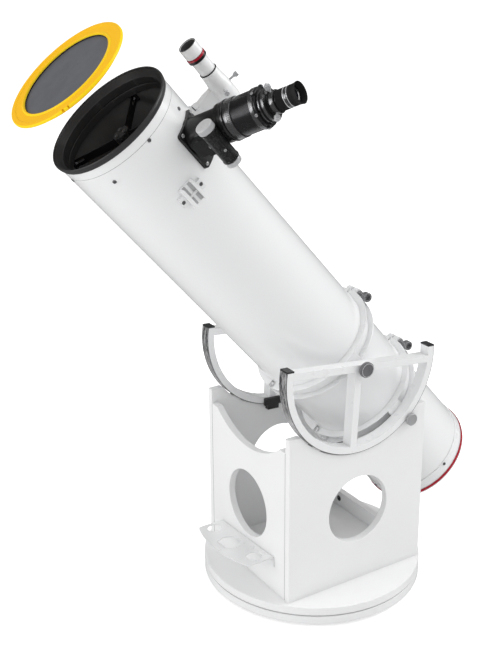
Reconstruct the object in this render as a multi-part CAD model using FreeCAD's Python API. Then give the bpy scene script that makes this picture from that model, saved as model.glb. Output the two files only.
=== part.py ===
import FreeCAD, Part
import math
import os

from FreeCAD import Vector as V

# Newtonian telescope on a rocker box that turns on a round ground board.
# The feet stand on z = 0 and the azimuth axis is Z. The altitude axis runs along X.
# Front is -Y, right is +X; the tube's mouth points up and to the front.
# Lengths are in millimetres, angles in degrees.

os.makedirs("parts", exist_ok=True)

# ---------------------------------------------------------------- driving dimensions
FIT = 0.05              # running clearance

FOOT_H = 8.0            # feet under the ground board
BOARD_R = 239.0         # both round base boards
GROUND_T = 19.0         # ground board thickness
GLIDE_T = 2.0           # glide pads, the gap between the boards
TURN_T = 18.0           # turntable board thickness
GROUND_Z0 = FOOT_H
GROUND_Z1 = GROUND_Z0 + GROUND_T
TURN_Z0 = GROUND_Z1 + GLIDE_T
TURN_Z1 = TURN_Z0 + TURN_T

PANEL_T = 15.0          # rocker box panels
BOX_XO = 156.8          # outer face of the right side panel
BOX_XI = BOX_XO - PANEL_T
FRONT_Y = -168.0        # outer face of the front panel
FRONT_IN = FRONT_Y + PANEL_T
REAR_Y = 176.7          # rear edge of the box
REAR_IN = REAR_Y - PANEL_T
SIDE_TOP = 415.4        # top of the side panels
FRONT_TOP = 383.2       # top flats of the front panel

ALT_Y = 5.5             # altitude axis
ALT_Z = 532.3
ELEVATION = 48.66       # tube elevation at rest
CRADLE_R = 187.0        # cradle cut in the side panels

ARC_R = 184.9           # running radius of the altitude bearing
STRIP_T = 0.8           # running strip on the bearing
ARC_H = 16.0            # radial height of the bearing arc
ARC_W = 25.0            # its width along X
ARC_XO = 161.0          # its outer face
ARC_XI = ARC_XO - ARC_W
TIP_H = 21.4            # bearing tips above the altitude axis
CAP_T = 3.0             # end caps on the tips
BEARING_TILT = 3.1      # front tip up
BEAM_TILT = 2.86        # extra tilt of the cross beam

TUBE_R = 120.0          # optical tube
TUBE_WALL = 1.2
TUBE_FRONT = 681.0      # stations along the tube, measured from the altitude axis
TUBE_REAR = -412.0
RING_W = 30.3           # tube rings
RING_R = 134.4          # ring flange radius
RING_UPPER = 7.6        # ring centre stations
RING_LOWER = -169.6
FOCUSER_AT = 591.0      # focuser axis station
FOCUSER_ANGLE = 36.5    # angles round the tube start at +X
DRAW_R = 28.5           # drawtube
FINDER_ANGLE = 76.0
FINDER_H = 188.4        # finder axis above the tube axis
MIRROR_R = 101.6        # primary mirror
FOCAL = 1218.0          # its focal length
FILTER_FACE = 803.0     # front face of the solar filter, held off the mouth


# ---------------------------------------------------------------- shape helpers
def cyl(r, z0, z1, x=0, y=0):
    return Part.makeCylinder(r, z1 - z0, V(x, y, z0))


def cylx(r, x0, x1, y=0, z=0):
    return Part.makeCylinder(r, x1 - x0, V(x0, y, z), V(1, 0, 0))


def cyly(r, y0, y1, x=0, z=0):
    return Part.makeCylinder(r, y1 - y0, V(x, y0, z), V(0, 1, 0))


def rod(r, start, end, origin, direction):
    """Cylinder between two distances from origin along a unit direction."""
    return Part.makeCylinder(r, end - start, origin + direction * start, direction)


def box(x0, x1, y0, y1, z0, z1):
    return Part.makeBox(x1 - x0, y1 - y0, z1 - z0, V(x0, y0, z0))


def pipe(outer_r, inner_r, z0, z1):
    return cyl(outer_r, z0, z1).cut(cyl(inner_r, z0 - 1, z1 + 1))


def polar(r, angle):
    return r * math.cos(math.radians(angle)), r * math.sin(math.radians(angle))


def hexagon(across_flats, z0, z1):
    r = across_flats / math.sqrt(3.0)
    wire = Part.makePolygon([V(*polar(r, 60 * i), z0) for i in range(7)])
    return Part.Face(wire).extrude(V(0, 0, z1 - z0))


def revolve(profile):
    """Solid of revolution about z from (radius, z) points."""
    wire = Part.makePolygon([V(r, 0, z) for r, z in profile + profile[:1]])
    return Part.Face(wire).revolve(V(0, 0, 0), V(0, 0, 1), 360)


def fuse(first, *rest):
    return first.fuse(list(rest)).removeSplitter()


def at(value, target):
    return abs(value - target) < 1e-6


def fillet(shape, r, pick):
    """Round the edges for which pick(edge) is true."""
    return shape.makeFillet(r, [e for e in shape.Edges if pick(e)])


def put(shape, frame):
    placed = shape.copy()
    placed.Placement = frame.multiply(placed.Placement)
    return placed


def turn(shape, axis, angle, origin=V(0, 0, 0)):
    return put(shape, FreeCAD.Placement(origin, FreeCAD.Rotation(axis, angle)))


def mirror_x(shape):
    return shape.mirror(V(0, 0, 0), V(1, 0, 0))


def both_sides(frame, *shapes):
    """The shapes placed on the right, then their mirror images on the left."""
    placed = [put(s, frame) for s in shapes]
    return placed + [mirror_x(s) for s in placed]


def export(name, *shapes):
    solids = [solid for shape in shapes for solid in shape.Solids]
    whole = solids[0] if len(solids) == 1 else Part.makeCompound(solids)
    whole.exportStep("parts/%s.step" % name)


# ---------------------------------------------------------------- local frames
X_AXIS = V(1, 0, 0)
Z_AXIS = V(0, 0, 1)
ALT = V(0, ALT_Y, ALT_Z)
# tube: x across, y above, z towards the mouth
TUBE = FreeCAD.Placement(ALT, FreeCAD.Rotation(X_AXIS, 90.0 - ELEVATION))
# bearing: x across, y rearwards, z up
BEARING = FreeCAD.Placement(ALT, FreeCAD.Rotation(X_AXIS, -BEARING_TILT))


def radial(angle, station):
    """Frame on the tube: x to the mouth, y to lower angles, z outwards at the angle."""
    c, s = polar(1, angle)
    matrix = FreeCAD.Matrix(0, s, c, 0, 0, -c, s, 0, 1, 0, 0, station, 0, 0, 0, 1)
    return TUBE.multiply(FreeCAD.Placement(matrix))


# ---------------------------------------------------------------- ground board, feet, pivot
FEET = [polar(200.0, a) for a in (-90, 30, 150)]
STUD_R = 4.0            # stud of each foot
PIVOT_R = 5.0           # pivot bolt
PIVOT_AF = 16.0         # its hexagons across flats
BUSHING_R = 9.0


def round_board(z0, z1):
    return fillet(cyl(BOARD_R, z0, z1), 1.2,
                  lambda e: len(e.Vertexes) == 1 and at(e.BoundBox.ZLength, 0))


def ground_board():
    board = round_board(GROUND_Z0, GROUND_Z1)
    board = board.cut(cyl(PIVOT_R + 0.1, 0, 60))
    board = board.cut(cyl(11.0, GROUND_Z0 - 0.2, GROUND_Z0 + 8.0))
    for x, y in FEET:
        board = board.cut(cyl(STUD_R + FIT, GROUND_Z0 - 0.2, GROUND_Z0 + 10.0, x, y))
    return board


def foot(x, y):
    cone = Part.makeCone(13.0, 16.0, FOOT_H, V(x, y, 0))
    return fuse(cone, cyl(STUD_R, FOOT_H - 0.5, FOOT_H + 9.0, x, y))


export("ground_board", ground_board())
export("feet", *[foot(x, y) for x, y in FEET])
export("azimuth_pads", *[cyl(18.0, GROUND_Z1, TURN_Z0, x, y) for x, y in FEET])
export("pivot_bolt", fuse(hexagon(PIVOT_AF, GROUND_Z0 + 1.4, GROUND_Z0 + 7.8),
                          cyl(PIVOT_R, GROUND_Z0 + 7.6, GROUND_Z0 + 59.6)))
pivot_nut = fuse(cyl(11.0, TURN_Z1 + 2.0, TURN_Z1 + 4.0),
                 hexagon(PIVOT_AF, TURN_Z1 + 2.0, TURN_Z1 + 11.0))
export("pivot_nut", pivot_nut.cut(cyl(PIVOT_R + 0.02, TURN_Z1, TURN_Z1 + 30)))
bushing = fuse(cyl(BUSHING_R, TURN_Z0, TURN_Z1 + 0.2), cyl(14.0, TURN_Z1, TURN_Z1 + 1.8))
export("pivot_bushing", bushing.cut(cyl(PIVOT_R + FIT, 0, 60)))

# ---------------------------------------------------------------- turntable and its screws
BASE_SCREW_R = 3.0
BASE_HEAD_R = 5.0
BASE_SCREWS = [(s * (BOX_XO - PANEL_T / 2), y) for s in (-1, 1) for y in (-120.0, 0.0, 120.0)]
BASE_SCREWS += [(x, y) for y in (FRONT_Y + PANEL_T / 2, REAR_Y - PANEL_T / 2)
                for x in (-70.0, 70.0)]


def turntable_board():
    board = round_board(TURN_Z0, TURN_Z1)
    board = board.cut(cyl(BUSHING_R + FIT, TURN_Z0 - 5, TURN_Z0 + 35))
    for x, y in BASE_SCREWS:
        board = board.cut(cyl(BASE_SCREW_R + FIT, TURN_Z0 - 5, TURN_Z0 + 35, x, y))
        board = board.cut(cyl(BASE_HEAD_R + FIT, TURN_Z0 - 0.1, TURN_Z0 + 4.2, x, y))
    return board


def base_screw(x, y):
    return fuse(cyl(BASE_HEAD_R, TURN_Z0 + 0.3, TURN_Z0 + 4.2, x, y),
                cyl(BASE_SCREW_R, TURN_Z0 + 3.0, TURN_Z0 + 49.0, x, y))


def drill_base(panel):
    for x, y in BASE_SCREWS:
        panel = panel.cut(cyl(BASE_SCREW_R + FIT, TURN_Z0 - 10.4, TURN_Z0 + 49.6, x, y))
    return panel


export("turntable_board", turntable_board())

# ---------------------------------------------------------------- side panels, friction knob
# The friction knob passes through the right panel below the cradle.
KNOB_ANGLE = math.radians(41.8)
KNOB_DIST = 191.2
KNOB_Y = ALT_Y + KNOB_DIST * math.sin(KNOB_ANGLE)
KNOB_Z = ALT_Z - KNOB_DIST * math.cos(KNOB_ANGLE)
KNOB_SCREW_R = 3.0


def side_panel():
    """Right side panel, before drilling."""
    through = (BOX_XI - 5, BOX_XO + 5)
    panel = box(BOX_XI, BOX_XO, FRONT_Y, REAR_Y, TURN_Z1, SIDE_TOP)
    panel = panel.cut(cylx(CRADLE_R, *through, ALT_Y, ALT_Z))
    panel = panel.cut(cylx(75.0, *through, 6.6, 213.9))
    return fillet(panel, 0.8, lambda e: at(e.CenterOfMass.x, BOX_XO)
                  and e.CenterOfMass.z > TURN_Z1 + 1)


def tension_knob():
    knob = fuse(cylx(KNOB_SCREW_R, BOX_XI + 1.2, BOX_XO + 4.0, KNOB_Y, KNOB_Z),
                cylx(5.0, BOX_XO + 0.1, BOX_XO + 6.6, KNOB_Y, KNOB_Z),
                cylx(13.0, BOX_XO + 6.4, BOX_XO + 13.2, KNOB_Y, KNOB_Z))
    return fillet(knob, 1.5, lambda e: at(e.CenterOfMass.x, BOX_XO + 13.2))


side = side_panel()
knob_hole = cylx(KNOB_SCREW_R + FIT, BOX_XI - 5, BOX_XO + 5, KNOB_Y, KNOB_Z)
export("side_panel_right", drill_base(side).cut(knob_hole))
export("side_panel_left", drill_base(mirror_x(side)))
export("tension_knob", tension_knob())

# ---------------------------------------------------------------- front panel, stretcher, cams
CAM_R = 6.8
CAM_X = 113.0
STRETCHER_CAM_Z = 65.0
FRONT_CAMS_Z = (105.0, 330.0)
TRAY_SCREW_R = 2.0
TRAY_SCREWS_X = (-74.0, 67.0)
TRAY_SCREW_Z = -13.0    # in the tray's frame, which hangs slightly out of level
TRAY = FreeCAD.Placement(V(0, 0, 122.4), FreeCAD.Rotation(V(0, 1, 0), -3.6))


def cam(x, z, face, into):
    """Cross-slotted cam and its hole; into is the y sense from the face into the panel."""
    def span(outside, inside):
        return sorted((face - into * outside, face + into * inside))

    slot = span(1, 1.2)
    lock = cyly(CAM_R, *span(0.6, 10.0), x, z)
    lock = lock.cut(box(x - 4.6, x + 4.6, *slot, z - 0.8, z + 0.8))
    lock = lock.cut(box(x - 0.8, x + 0.8, *slot, z - 4.6, z + 4.6))
    return lock, cyly(CAM_R + FIT, *span(1, 10.1), x, z)


def blank_front():
    through = (FRONT_Y - 5, FRONT_IN + 5)
    panel = box(-BOX_XI, BOX_XI, FRONT_Y, FRONT_IN, TURN_Z1, FRONT_TOP)
    panel = panel.cut(cyly(186.0, *through, 0, 525.2))
    panel = panel.cut(cyly(73.9, *through, 0, 206.7))
    panel = fillet(panel, 0.8, lambda e: at(e.CenterOfMass.y, FRONT_Y)
                   and e.CenterOfMass.z > TURN_Z1 + 1 and e.BoundBox.XLength > 1)
    return drill_base(panel)


front = blank_front()
stretcher = drill_base(box(-BOX_XI, BOX_XI, REAR_IN, REAR_Y, TURN_Z1, TURN_Z1 + 36.0))
cams = []
for x in (-CAM_X, CAM_X):
    lock, hole = cam(x, STRETCHER_CAM_Z, REAR_IN, 1)
    stretcher = stretcher.cut(hole)
    cams.append(lock)
    for z in FRONT_CAMS_Z:
        lock, hole = cam(x, z, FRONT_IN, -1)
        front = front.cut(hole)
        cams.append(lock)
for x in TRAY_SCREWS_X:
    hole = cyly(TRAY_SCREW_R + FIT, FRONT_Y - 10, FRONT_Y + 12.1, x, TRAY_SCREW_Z)
    front = front.cut(put(hole, TRAY))
export("front_panel", front)
export("rear_stretcher", stretcher)
export("cam_locks", *cams)

# ---------------------------------------------------------------- eyepiece tray
TRAY_X = 103.5          # half width
TRAY_Y = -230.0         # front corners
TRAY_BOW = 18.5         # bow of the front edge
TRAY_T = 2.0
TRAY_HOLES = [(-5.0, -211.0, 25.8), (-80.0, -203.0, 16.2), (74.0, -199.4, 16.2)]  # x, y, radius


def eyepiece_tray():
    """Bent sheet with a bowed front edge and a flange against the front panel."""
    left, right = V(-TRAY_X, TRAY_Y, 0), V(TRAY_X, TRAY_Y, 0)
    back_right, back_left = V(TRAY_X, FRONT_Y, 0), V(-TRAY_X, FRONT_Y, 0)
    outline = Part.Wire([Part.Arc(left, V(0, TRAY_Y - TRAY_BOW, 0), right).toShape(),
                         Part.makeLine(right, back_right),
                         Part.makeLine(back_right, back_left),
                         Part.makeLine(back_left, left)])
    tray = Part.Face(outline).extrude(V(0, 0, -TRAY_T))
    tray = fillet(tray, 6.0, lambda e: at(e.BoundBox.ZLength, TRAY_T)
                  and e.CenterOfMass.y < -200)
    tray = fuse(tray, box(-TRAY_X, TRAY_X, FRONT_Y - TRAY_T, FRONT_Y, -23.3, 0.0))
    tray = fillet(tray, 1.8, lambda e: at(e.CenterOfMass.y, FRONT_Y)
                  and at(e.CenterOfMass.z, 0))
    for x, y, r in TRAY_HOLES:
        tray = tray.cut(cyl(r, -6, 4, x, y))
    for x in TRAY_SCREWS_X:
        tray = tray.cut(cyly(TRAY_SCREW_R + FIT, FRONT_Y - 10, FRONT_Y + 20, x, TRAY_SCREW_Z))
    return put(tray, TRAY)


def tray_screw(x):
    head = cyly(3.8, FRONT_Y - 4.2, FRONT_Y - TRAY_T, x, TRAY_SCREW_Z)
    shank = cyly(TRAY_SCREW_R, FRONT_Y - 3.0, FRONT_Y + 11.9, x, TRAY_SCREW_Z)
    return put(fuse(head, shank), TRAY)


export("eyepiece_tray", eyepiece_tray())
export("box_screws", *[base_screw(x, y) for x, y in BASE_SCREWS],
       *[tray_screw(x) for x in TRAY_SCREWS_X])


# ---------------------------------------------------------------- altitude pads
def altitude_pad(angle):
    """Block between cradle and bearing on the right side panel."""
    ring = cylx(CRADLE_R, BOX_XI, BOX_XO).cut(cylx(ARC_R + FIT, BOX_XI - 1, BOX_XO + 1))
    pad = ring.common(box(BOX_XI, BOX_XO, -12.0, 12.0, -CRADLE_R - 1, -150.0))
    return turn(pad, X_AXIS, angle, ALT)


pads = [altitude_pad(angle) for angle in (-36.0, 36.0)]
export("altitude_pads", *[mirror_x(pad) for pad in pads], *pads)

# ---------------------------------------------------------------- altitude bearings
ARC_RI = ARC_R - ARC_H
ARC_RO = ARC_R - STRIP_T
ARC_WALL = 2.0
CENTRE_SCREW_R = 4.0


def arc(inner_r, outer_r, x0, x1, top, bottom=-400.0):
    """Part of a ring about X between two heights."""
    ring = cylx(outer_r, x0, x1).cut(cylx(inner_r, x0 - 1, x1 + 1))
    return ring.common(box(x0 - 2, x1 + 2, -300, 300, bottom, top))


def frame_body(inset, top):
    """Arc, cross beam and strut, with every wall moved in by the inset."""
    x0, x1 = ARC_XI + inset, ARC_XO - inset
    beam = box(x0, x1, -176 + 2 * inset, 176 - 2 * inset, -7.5 + inset, 7.5 - inset)
    beam = turn(beam, X_AXIS, -BEAM_TILT)
    strut = box(x0, x1, -18.5 + inset, -2.5 - inset, -174.0 + inset, 0.0)
    return fuse(arc(ARC_RI + inset, ARC_RO - inset, x0, x1, top), beam, strut)


def bearing_frame():
    frame = frame_body(0, TIP_H - CAP_T).cut(frame_body(ARC_WALL, TIP_H))
    return frame.cut(cylx(CENTRE_SCREW_R + FIT, ARC_XI - 5, ARC_XO + 5))


def end_caps():
    """Front and rear caps, each with a plug that enters the hollow arc."""
    inset = ARC_WALL + 0.1
    caps = arc(ARC_RI, ARC_R, ARC_XI, ARC_XO, TIP_H, TIP_H - CAP_T + 0.001)
    plugs = arc(ARC_RI + inset, ARC_RO - inset, ARC_XI + inset, ARC_XO - inset,
                TIP_H - 0.5, TIP_H - CAP_T - 9.0)
    caps, plugs = [sorted(s.Solids, key=lambda q: q.CenterOfMass.y) for s in (caps, plugs)]
    return [fuse(cap, plug) for cap, plug in zip(caps, plugs)]


def guide_block():
    """Block on the inner face of the bearing, above and below the arc."""
    x0 = ARC_XI - 7.5
    block = fuse(box(x0, ARC_XI, -34.0, 11.0, -185.0, -168.5),
                 box(x0, BOX_XI - 0.5, -25.0, 3.0, -195.5, -ARC_R - 3.0),
                 box(x0, ARC_XI - 0.3, -25.0, 3.0, -190.0, -180.0))
    return fillet(block, 1.5, lambda e: at(e.CenterOfMass.x, x0))


def centre_knob():
    knob = fuse(cylx(CENTRE_SCREW_R, 124.0, ARC_XO + 1.0),
                cylx(9.0, ARC_XO + 0.1, 168.0), cylx(16.0, 167.5, 176.0))
    return fillet(knob, 1.6, lambda e: at(e.CenterOfMass.x, 176.0))


for name, frame, shape in (("bearing_frame", BEARING, bearing_frame()),
                           ("centre_knob", TUBE, centre_knob())):
    right, left = both_sides(frame, shape)
    export(name + "_right", right)
    export(name + "_left", left)
strip = arc(ARC_RO, ARC_R, ARC_XI + 0.5, ARC_XO - 0.5, TIP_H - CAP_T)
export("bearing_strips", *both_sides(BEARING, strip))
export("end_caps", *both_sides(BEARING, *end_caps()))
export("guide_blocks", *both_sides(BEARING, guide_block()))

# ---------------------------------------------------------------- screws in the optical tube
SCREW_R = 2.0
SCREW_HEAD_R = 3.6
SADDLE_R = 125.6        # outer radius of the focuser saddle
SHOE_TOP = 124.0        # seat of the finder and accessory shoes above the tube axis
REAR_SEAT_R = 122.25    # screw seat on the rear ring
FOCUSER_SCREWS = [(FOCUSER_ANGLE - math.degrees(math.asin(y / 123.0)), FOCUSER_AT + x)
                  for y in (28.0, -31.0) for x in (-45.0, 26.0)]
ACCESSORY_SCREWS = [(angle, 534.0) for angle in (-13.8, 6.8)]
REAR_SCREWS = [(angle, -405.0) for angle in (0, 90, 180, 270)]
tube_screws = []


def bore(angle, station, r, z0, z1):
    return put(cyl(r, z0, z1), radial(angle, station))


def screw_holes(places, seat=TUBE_R, depth=6.0, head=2.2):
    """Add a cross-slotted screw at each (angle, station); return the clearance holes."""
    top = seat + head
    for place in places:
        screw = fuse(cyl(SCREW_HEAD_R, seat, top), cyl(SCREW_R, seat - depth, seat + head / 2))
        for x, y in ((SCREW_HEAD_R, 0.45), (0.45, SCREW_HEAD_R * 0.7)):
            screw = screw.cut(box(-x, x, -y, y, top - 0.9, top + 1))
        tube_screws.append(put(screw, radial(*place)))
    return [bore(*place, SCREW_R + FIT, seat - 25.0, seat + 15.0) for place in places]


front_holes = screw_holes([(a, 661.6) for a in (0, 90, 180, 270)], depth=4.4)
spider_holes = screw_holes([(a, 641.6) for a in (45, 135, 225, 315)], depth=8.0)
rear_holes = screw_holes(REAR_SCREWS, seat=REAR_SEAT_R, depth=5.0)
focuser_holes = screw_holes(FOCUSER_SCREWS, seat=SADDLE_R, depth=8.5)
finder_holes = screw_holes([(FINDER_ANGLE, station) for station in (551.0, 585.0)],
                           seat=SHOE_TOP, depth=7.0, head=2.0)
accessory_holes = screw_holes(ACCESSORY_SCREWS, seat=SHOE_TOP, depth=7.0)

# ---------------------------------------------------------------- main tube and end rings
# collimation knob axes, x and y in the tube frame
COLLIMATION = [polar(96.0, a) for a in (90, 210, 330)]
# ring profiles: (radius, station)
FRONT_RING = [
    (118.7, 650), (118.7, 681.05), (120.7, 681.05), (121.6, 682.4), (122.7, 686.0),
    (123.4, 689.6), (123.3, 691.4), (122.6, 692.8), (121.6, 693.3), (120.5, 692.9),
    (119.8, 691.6), (119.4, 689.8), (118.0, 689.2), (117.2, 688.0), (112.0, 680.0),
    (110.4, 679.0), (110.4, 650)]
REAR_RING = [
    (120.05, -399), (121.3, -399), (122.0, -399.7), (122.2, -405.0), (122.6, -415.0),
    (123.0, -424.0), (121.0, -424.0), (121.0, -429.2), (123.0, -429.2), (123.1, -432.5),
    (122.6, -435.4), (121.0, -437.0), (117.0, -437.0), (116.0, -436.0), (116.0, -420.0),
    (84.0, -420.0), (84.0, -412.1), (120.05, -412.1)]
RED_RING = [
    (121.05, -424.05), (123.3, -424.05), (123.7, -424.6), (123.7, -428.6),
    (123.3, -429.15), (121.05, -429.15)]


def main_tube():
    tube = put(pipe(TUBE_R, TUBE_R - TUBE_WALL, TUBE_REAR, TUBE_FRONT), TUBE)
    # shallow groove round the outside near the mouth
    tube = tube.cut(put(pipe(TUBE_R + 2, TUBE_R - 0.35, 663.9, 664.7), TUBE))
    return tube.cut([bore(FOCUSER_ANGLE, FOCUSER_AT, 30.0, 100.0, 135.0)]
                    + front_holes + spider_holes + rear_holes
                    + focuser_holes + finder_holes + accessory_holes)


def rear_ring():
    seats = [bore(*place, 3.65, REAR_SEAT_R - FIT, REAR_SEAT_R - FIT + 6) for place in REAR_SCREWS]
    ring = put(revolve(REAR_RING), TUBE).cut(rear_holes + seats)
    for x, y in COLLIMATION:
        ring = ring.cut(put(cyl(3.1, -432, -402, x, y), TUBE))
    return ring


export("main_tube", main_tube())
export("front_ring", put(revolve(FRONT_RING), TUBE).cut(front_holes))
export("rear_ring", rear_ring())
export("red_ring", put(revolve(RED_RING), TUBE))

# ---------------------------------------------------------------- primary mirror and its cell
MIRROR_BACK = -378.0
MIRROR_EDGE = -348.0    # front edge of the mirror
CELL_BACK = -392.0
CELL_FRONT = -384.0


def mirror_cell():
    hole_span = (CELL_BACK - 1, CELL_FRONT + 1)
    cell = cyl(112.0, CELL_BACK, CELL_FRONT).cut(cyl(20.0, *hole_span))
    for i in range(6):
        cell = cell.cut(cyl(19.0, *hole_span, *polar(58, 60 * i)))
    cell = fuse(cell, *[cyl(7.0, CELL_FRONT - 0.5, MIRROR_BACK, *polar(82, a))
                        for a in (30, 150, 270)])
    for x, y in COLLIMATION:
        cell = cell.cut(cyl(3.02, CELL_BACK - 0.2, CELL_BACK + 6.0, x, y))
    return cell


def collimation_spring(x, y):
    coil_r = 5.6
    section = Part.Wire(Part.makeCircle(0.8, V(coil_r, 0, 0), V(0, 1, 0.16)))
    spring = Part.Wire(Part.makeHelix(4.0, 18.0, coil_r)).makePipeShell([section], True, True)
    spring.translate(V(x, y, -411.1))
    return spring


def collimation_knob(x, y):
    return fuse(cyl(9.0, -430.2, -420.2, x, y), cyl(3.0, -421.2, -386.2, x, y))


def primary_mirror():
    sag = MIRROR_R ** 2 / (4.0 * FOCAL)
    hollow = Part.makeSphere(2 * FOCAL, V(0, 0, MIRROR_EDGE - sag + 2 * FOCAL))
    return cyl(MIRROR_R, MIRROR_BACK, MIRROR_EDGE).cut(hollow)


def mirror_clip(angle):
    clip = fuse(box(102.0, 109.0, -7, 7, CELL_FRONT, -344.8),
                box(95.0, 109.0, -7, 7, -347.4, -344.8))
    return turn(clip, Z_AXIS, angle).cut(cyl(MIRROR_R + 0.2, -387.6, -347.6))


export("mirror_cell", put(mirror_cell(), TUBE))
export("collimation_springs", *[put(collimation_spring(x, y), TUBE) for x, y in COLLIMATION])
export("collimation_knobs", *[put(collimation_knob(x, y), TUBE) for x, y in COLLIMATION])
export("primary_mirror", put(primary_mirror(), TUBE))
export("mirror_clips", *[put(mirror_clip(a), TUBE) for a in (90, 210, 330)])

# ---------------------------------------------------------------- spider and secondary mirror
HUB_FRONT = 654.0
VANE_SPAN = (633.0, 649.0)
HOLDER_SCREWS = [polar(9.5, a) for a in (30, 150, 270)]
SECONDARY_T = 8.0


def spider():
    """Hub, four vanes and their feet on the tube wall."""
    shape = cyl(16.0, 628.0, HUB_FRONT)
    for angle in (45, 135, 225, 315):
        vane_foot = box(115.0, 119.5, -7, 7, *VANE_SPAN).common(
            cyl(TUBE_R - TUBE_WALL - FIT, 620, 660))
        vane = box(14.0, 117.5, -0.6, 0.6, *VANE_SPAN).fuse(vane_foot)
        shape = shape.fuse(turn(vane, Z_AXIS, angle))
    shape = put(shape.removeSplitter(), TUBE).cut(spider_holes)
    for x, y in HOLDER_SCREWS:
        shape = shape.cut(put(cyl(SCREW_R + FIT, 620, 660, x, y), TUBE))
    return shape


def behind_mirror(offset, thickness):
    """Slab behind the secondary's face, which looks at the focuser and the primary."""
    normal = V(*polar(1, FOCUSER_ANGLE), -1.0).normalize()
    slab = Part.makeBox(200, 200, thickness, V(-100, -100, -thickness - offset))
    return put(slab, FreeCAD.Placement(V(0, 0, FOCUSER_AT), FreeCAD.Rotation(Z_AXIS, normal)))


def secondary_holder():
    holder = cyl(22.0, 560, 620).common(behind_mirror(SECONDARY_T, 200.0))
    holder = holder.common(cyl(50, 520, 620))
    return fuse(holder, cyl(5.0, 618.0, 628.0))


export("spider", spider())
for x, y in HOLDER_SCREWS:
    screw = fuse(cyl(3.4, HUB_FRONT, HUB_FRONT + 3.0, x, y), cyl(SCREW_R, 624.5, 654.5, x, y))
    tube_screws.append(put(screw, TUBE))
export("tube_screws", *tube_screws)
secondary = cyl(25.0, 540, 660).common(behind_mirror(0, SECONDARY_T))
export("secondary_mirror", put(secondary, TUBE))
export("secondary_holder", put(secondary_holder(), TUBE))

# ---------------------------------------------------------------- tube rings
CLAMP_Y = 137.5         # clamp screw axis, above the tube
CLAMP_R = 4.0
EAR_TOP = 146.0
HINGE_Y = -128.6        # hinge axis, below the tube
HINGE_PIN_R = 3.0
KNUCKLE_R = 6.4


def half_ring(centre, hand):
    """Hinged half of a tube ring: right for hand 1, left for hand -1."""
    z0, z1 = centre - RING_W / 2, centre + RING_W / 2
    channel = revolve([
        (TUBE_R + FIT, z0), (RING_R - 1.0, z0), (RING_R, z0 + 0.8), (RING_R - 0.6, z0 + 2.6),
        (122.8, z0 + 2.6), (122.8, z1 - 2.6), (RING_R - 0.6, z1 - 2.6), (RING_R, z1 - 0.8),
        (RING_R - 1.0, z1), (TUBE_R + FIT, z1)])
    channel = channel.common(box(8.5, 200, -200, 0.1, z0 - 1, z1 + 1).fuse(
        box(1.6, 200, -0.1, 200, z0 - 1, z1 + 1)))
    ear = box(1.6, 17.0, 112.0, EAR_TOP, centre - 11.0, centre + 11.0)
    ear = fillet(ear, 6.0, lambda e: at(e.CenterOfMass.y, EAR_TOP) and e.BoundBox.XLength > 5)
    lug = box(100.0, ARC_XI - 0.02, -17.0, 17.0, z0, z1)
    # the right half has the two outer knuckles, the left half the middle one
    if hand > 0:
        knuckles = [(z0 + 1.0, centre - 5.0), (centre + 5.0, z1 - 1.0)]
        gaps = [(centre - 5.0, centre + 5.0)]
    else:
        knuckles = [(centre - 4.9, centre + 4.9)]
        gaps = [(z0 - 1, centre - 4.9), (centre + 4.9, z1 + 1)]
    parts = [ear, lug]
    for span in knuckles:
        parts.append(cyl(KNUCKLE_R, *span, 0, HINGE_Y))
        parts.append(box(0.0, 14.0, HINGE_Y - KNUCKLE_R + 0.6, -119.0, *span))
    half = channel.fuse(parts)
    half = half.cut([cyl(TUBE_R + FIT, z0 - 20, z1 + 20),
                     cyl(HINGE_PIN_R + FIT, centre - 30, centre + 30, 0, HINGE_Y),
                     cylx(CLAMP_R + FIT, -5, 30, CLAMP_Y, centre)])
    for span in gaps:
        half = half.cut(cyl(KNUCKLE_R + 0.4, *span, 0, HINGE_Y))
    if centre > 0:
        # only the upper ring takes the centre knobs
        half = half.cut(cylx(CENTRE_SCREW_R + FIT, 122.5, 150))
    half = half.removeSplitter()
    return put(half if hand > 0 else mirror_x(half), TUBE)


def hinge_pin(centre):
    z0, z1 = centre - RING_W / 2, centre + RING_W / 2
    return put(fuse(cyl(HINGE_PIN_R, z0 - 1, z1 + 1, 0, HINGE_Y),
                    cyl(4.6, z1 - 1.0, z1 + 0.6, 0, HINGE_Y),
                    cyl(4.6, z0 - 0.6, z0 + 1.0, 0, HINGE_Y)), TUBE)


def clamp_knob(centre):
    """Clamp screw and its knob, with a hexagon socket in the end."""
    x0, x1 = 34.0, 47.0
    knob = fuse(cylx(CLAMP_R, -16.0, 36.0, CLAMP_Y, centre),
                cylx(10.4, x0, x1, CLAMP_Y, centre))
    knob = fillet(knob, 1.2, lambda e: at(e.CenterOfMass.x, x1)
                  or (at(e.CenterOfMass.x, x0) and e.BoundBox.YLength > 12))
    outline = Part.makePolygon([V(0, *polar(6.2, 60 * i)) for i in range(7)])
    socket = Part.Face(outline).extrude(V(9, 0, 0))
    socket.translate(V(40.5, CLAMP_Y, centre))
    return put(knob.cut(socket), TUBE)


for name, centre in (("upper", RING_UPPER), ("lower", RING_LOWER)):
    export("ring_%s_right" % name, half_ring(centre, 1))
    export("ring_%s_left" % name, half_ring(centre, -1))
    export("ring_clamp_knob_" + name, clamp_knob(centre))
export("ring_hinge_pins", hinge_pin(RING_UPPER), hinge_pin(RING_LOWER))

# ---------------------------------------------------------------- focuser
# Frame: x towards the mouth, z outwards along the drawtube, heights from the tube axis.
FOCUSER = radial(FOCUSER_ANGLE, FOCUSER_AT)
PINION = (41.0, 179.4)  # pinion axis, y and z
SHAFT_R = 3.45
GEAR_R = 5.0
RACK_Y = PINION[0] - GEAR_R
ADAPTER_SCREW_Z = 295.0
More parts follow.
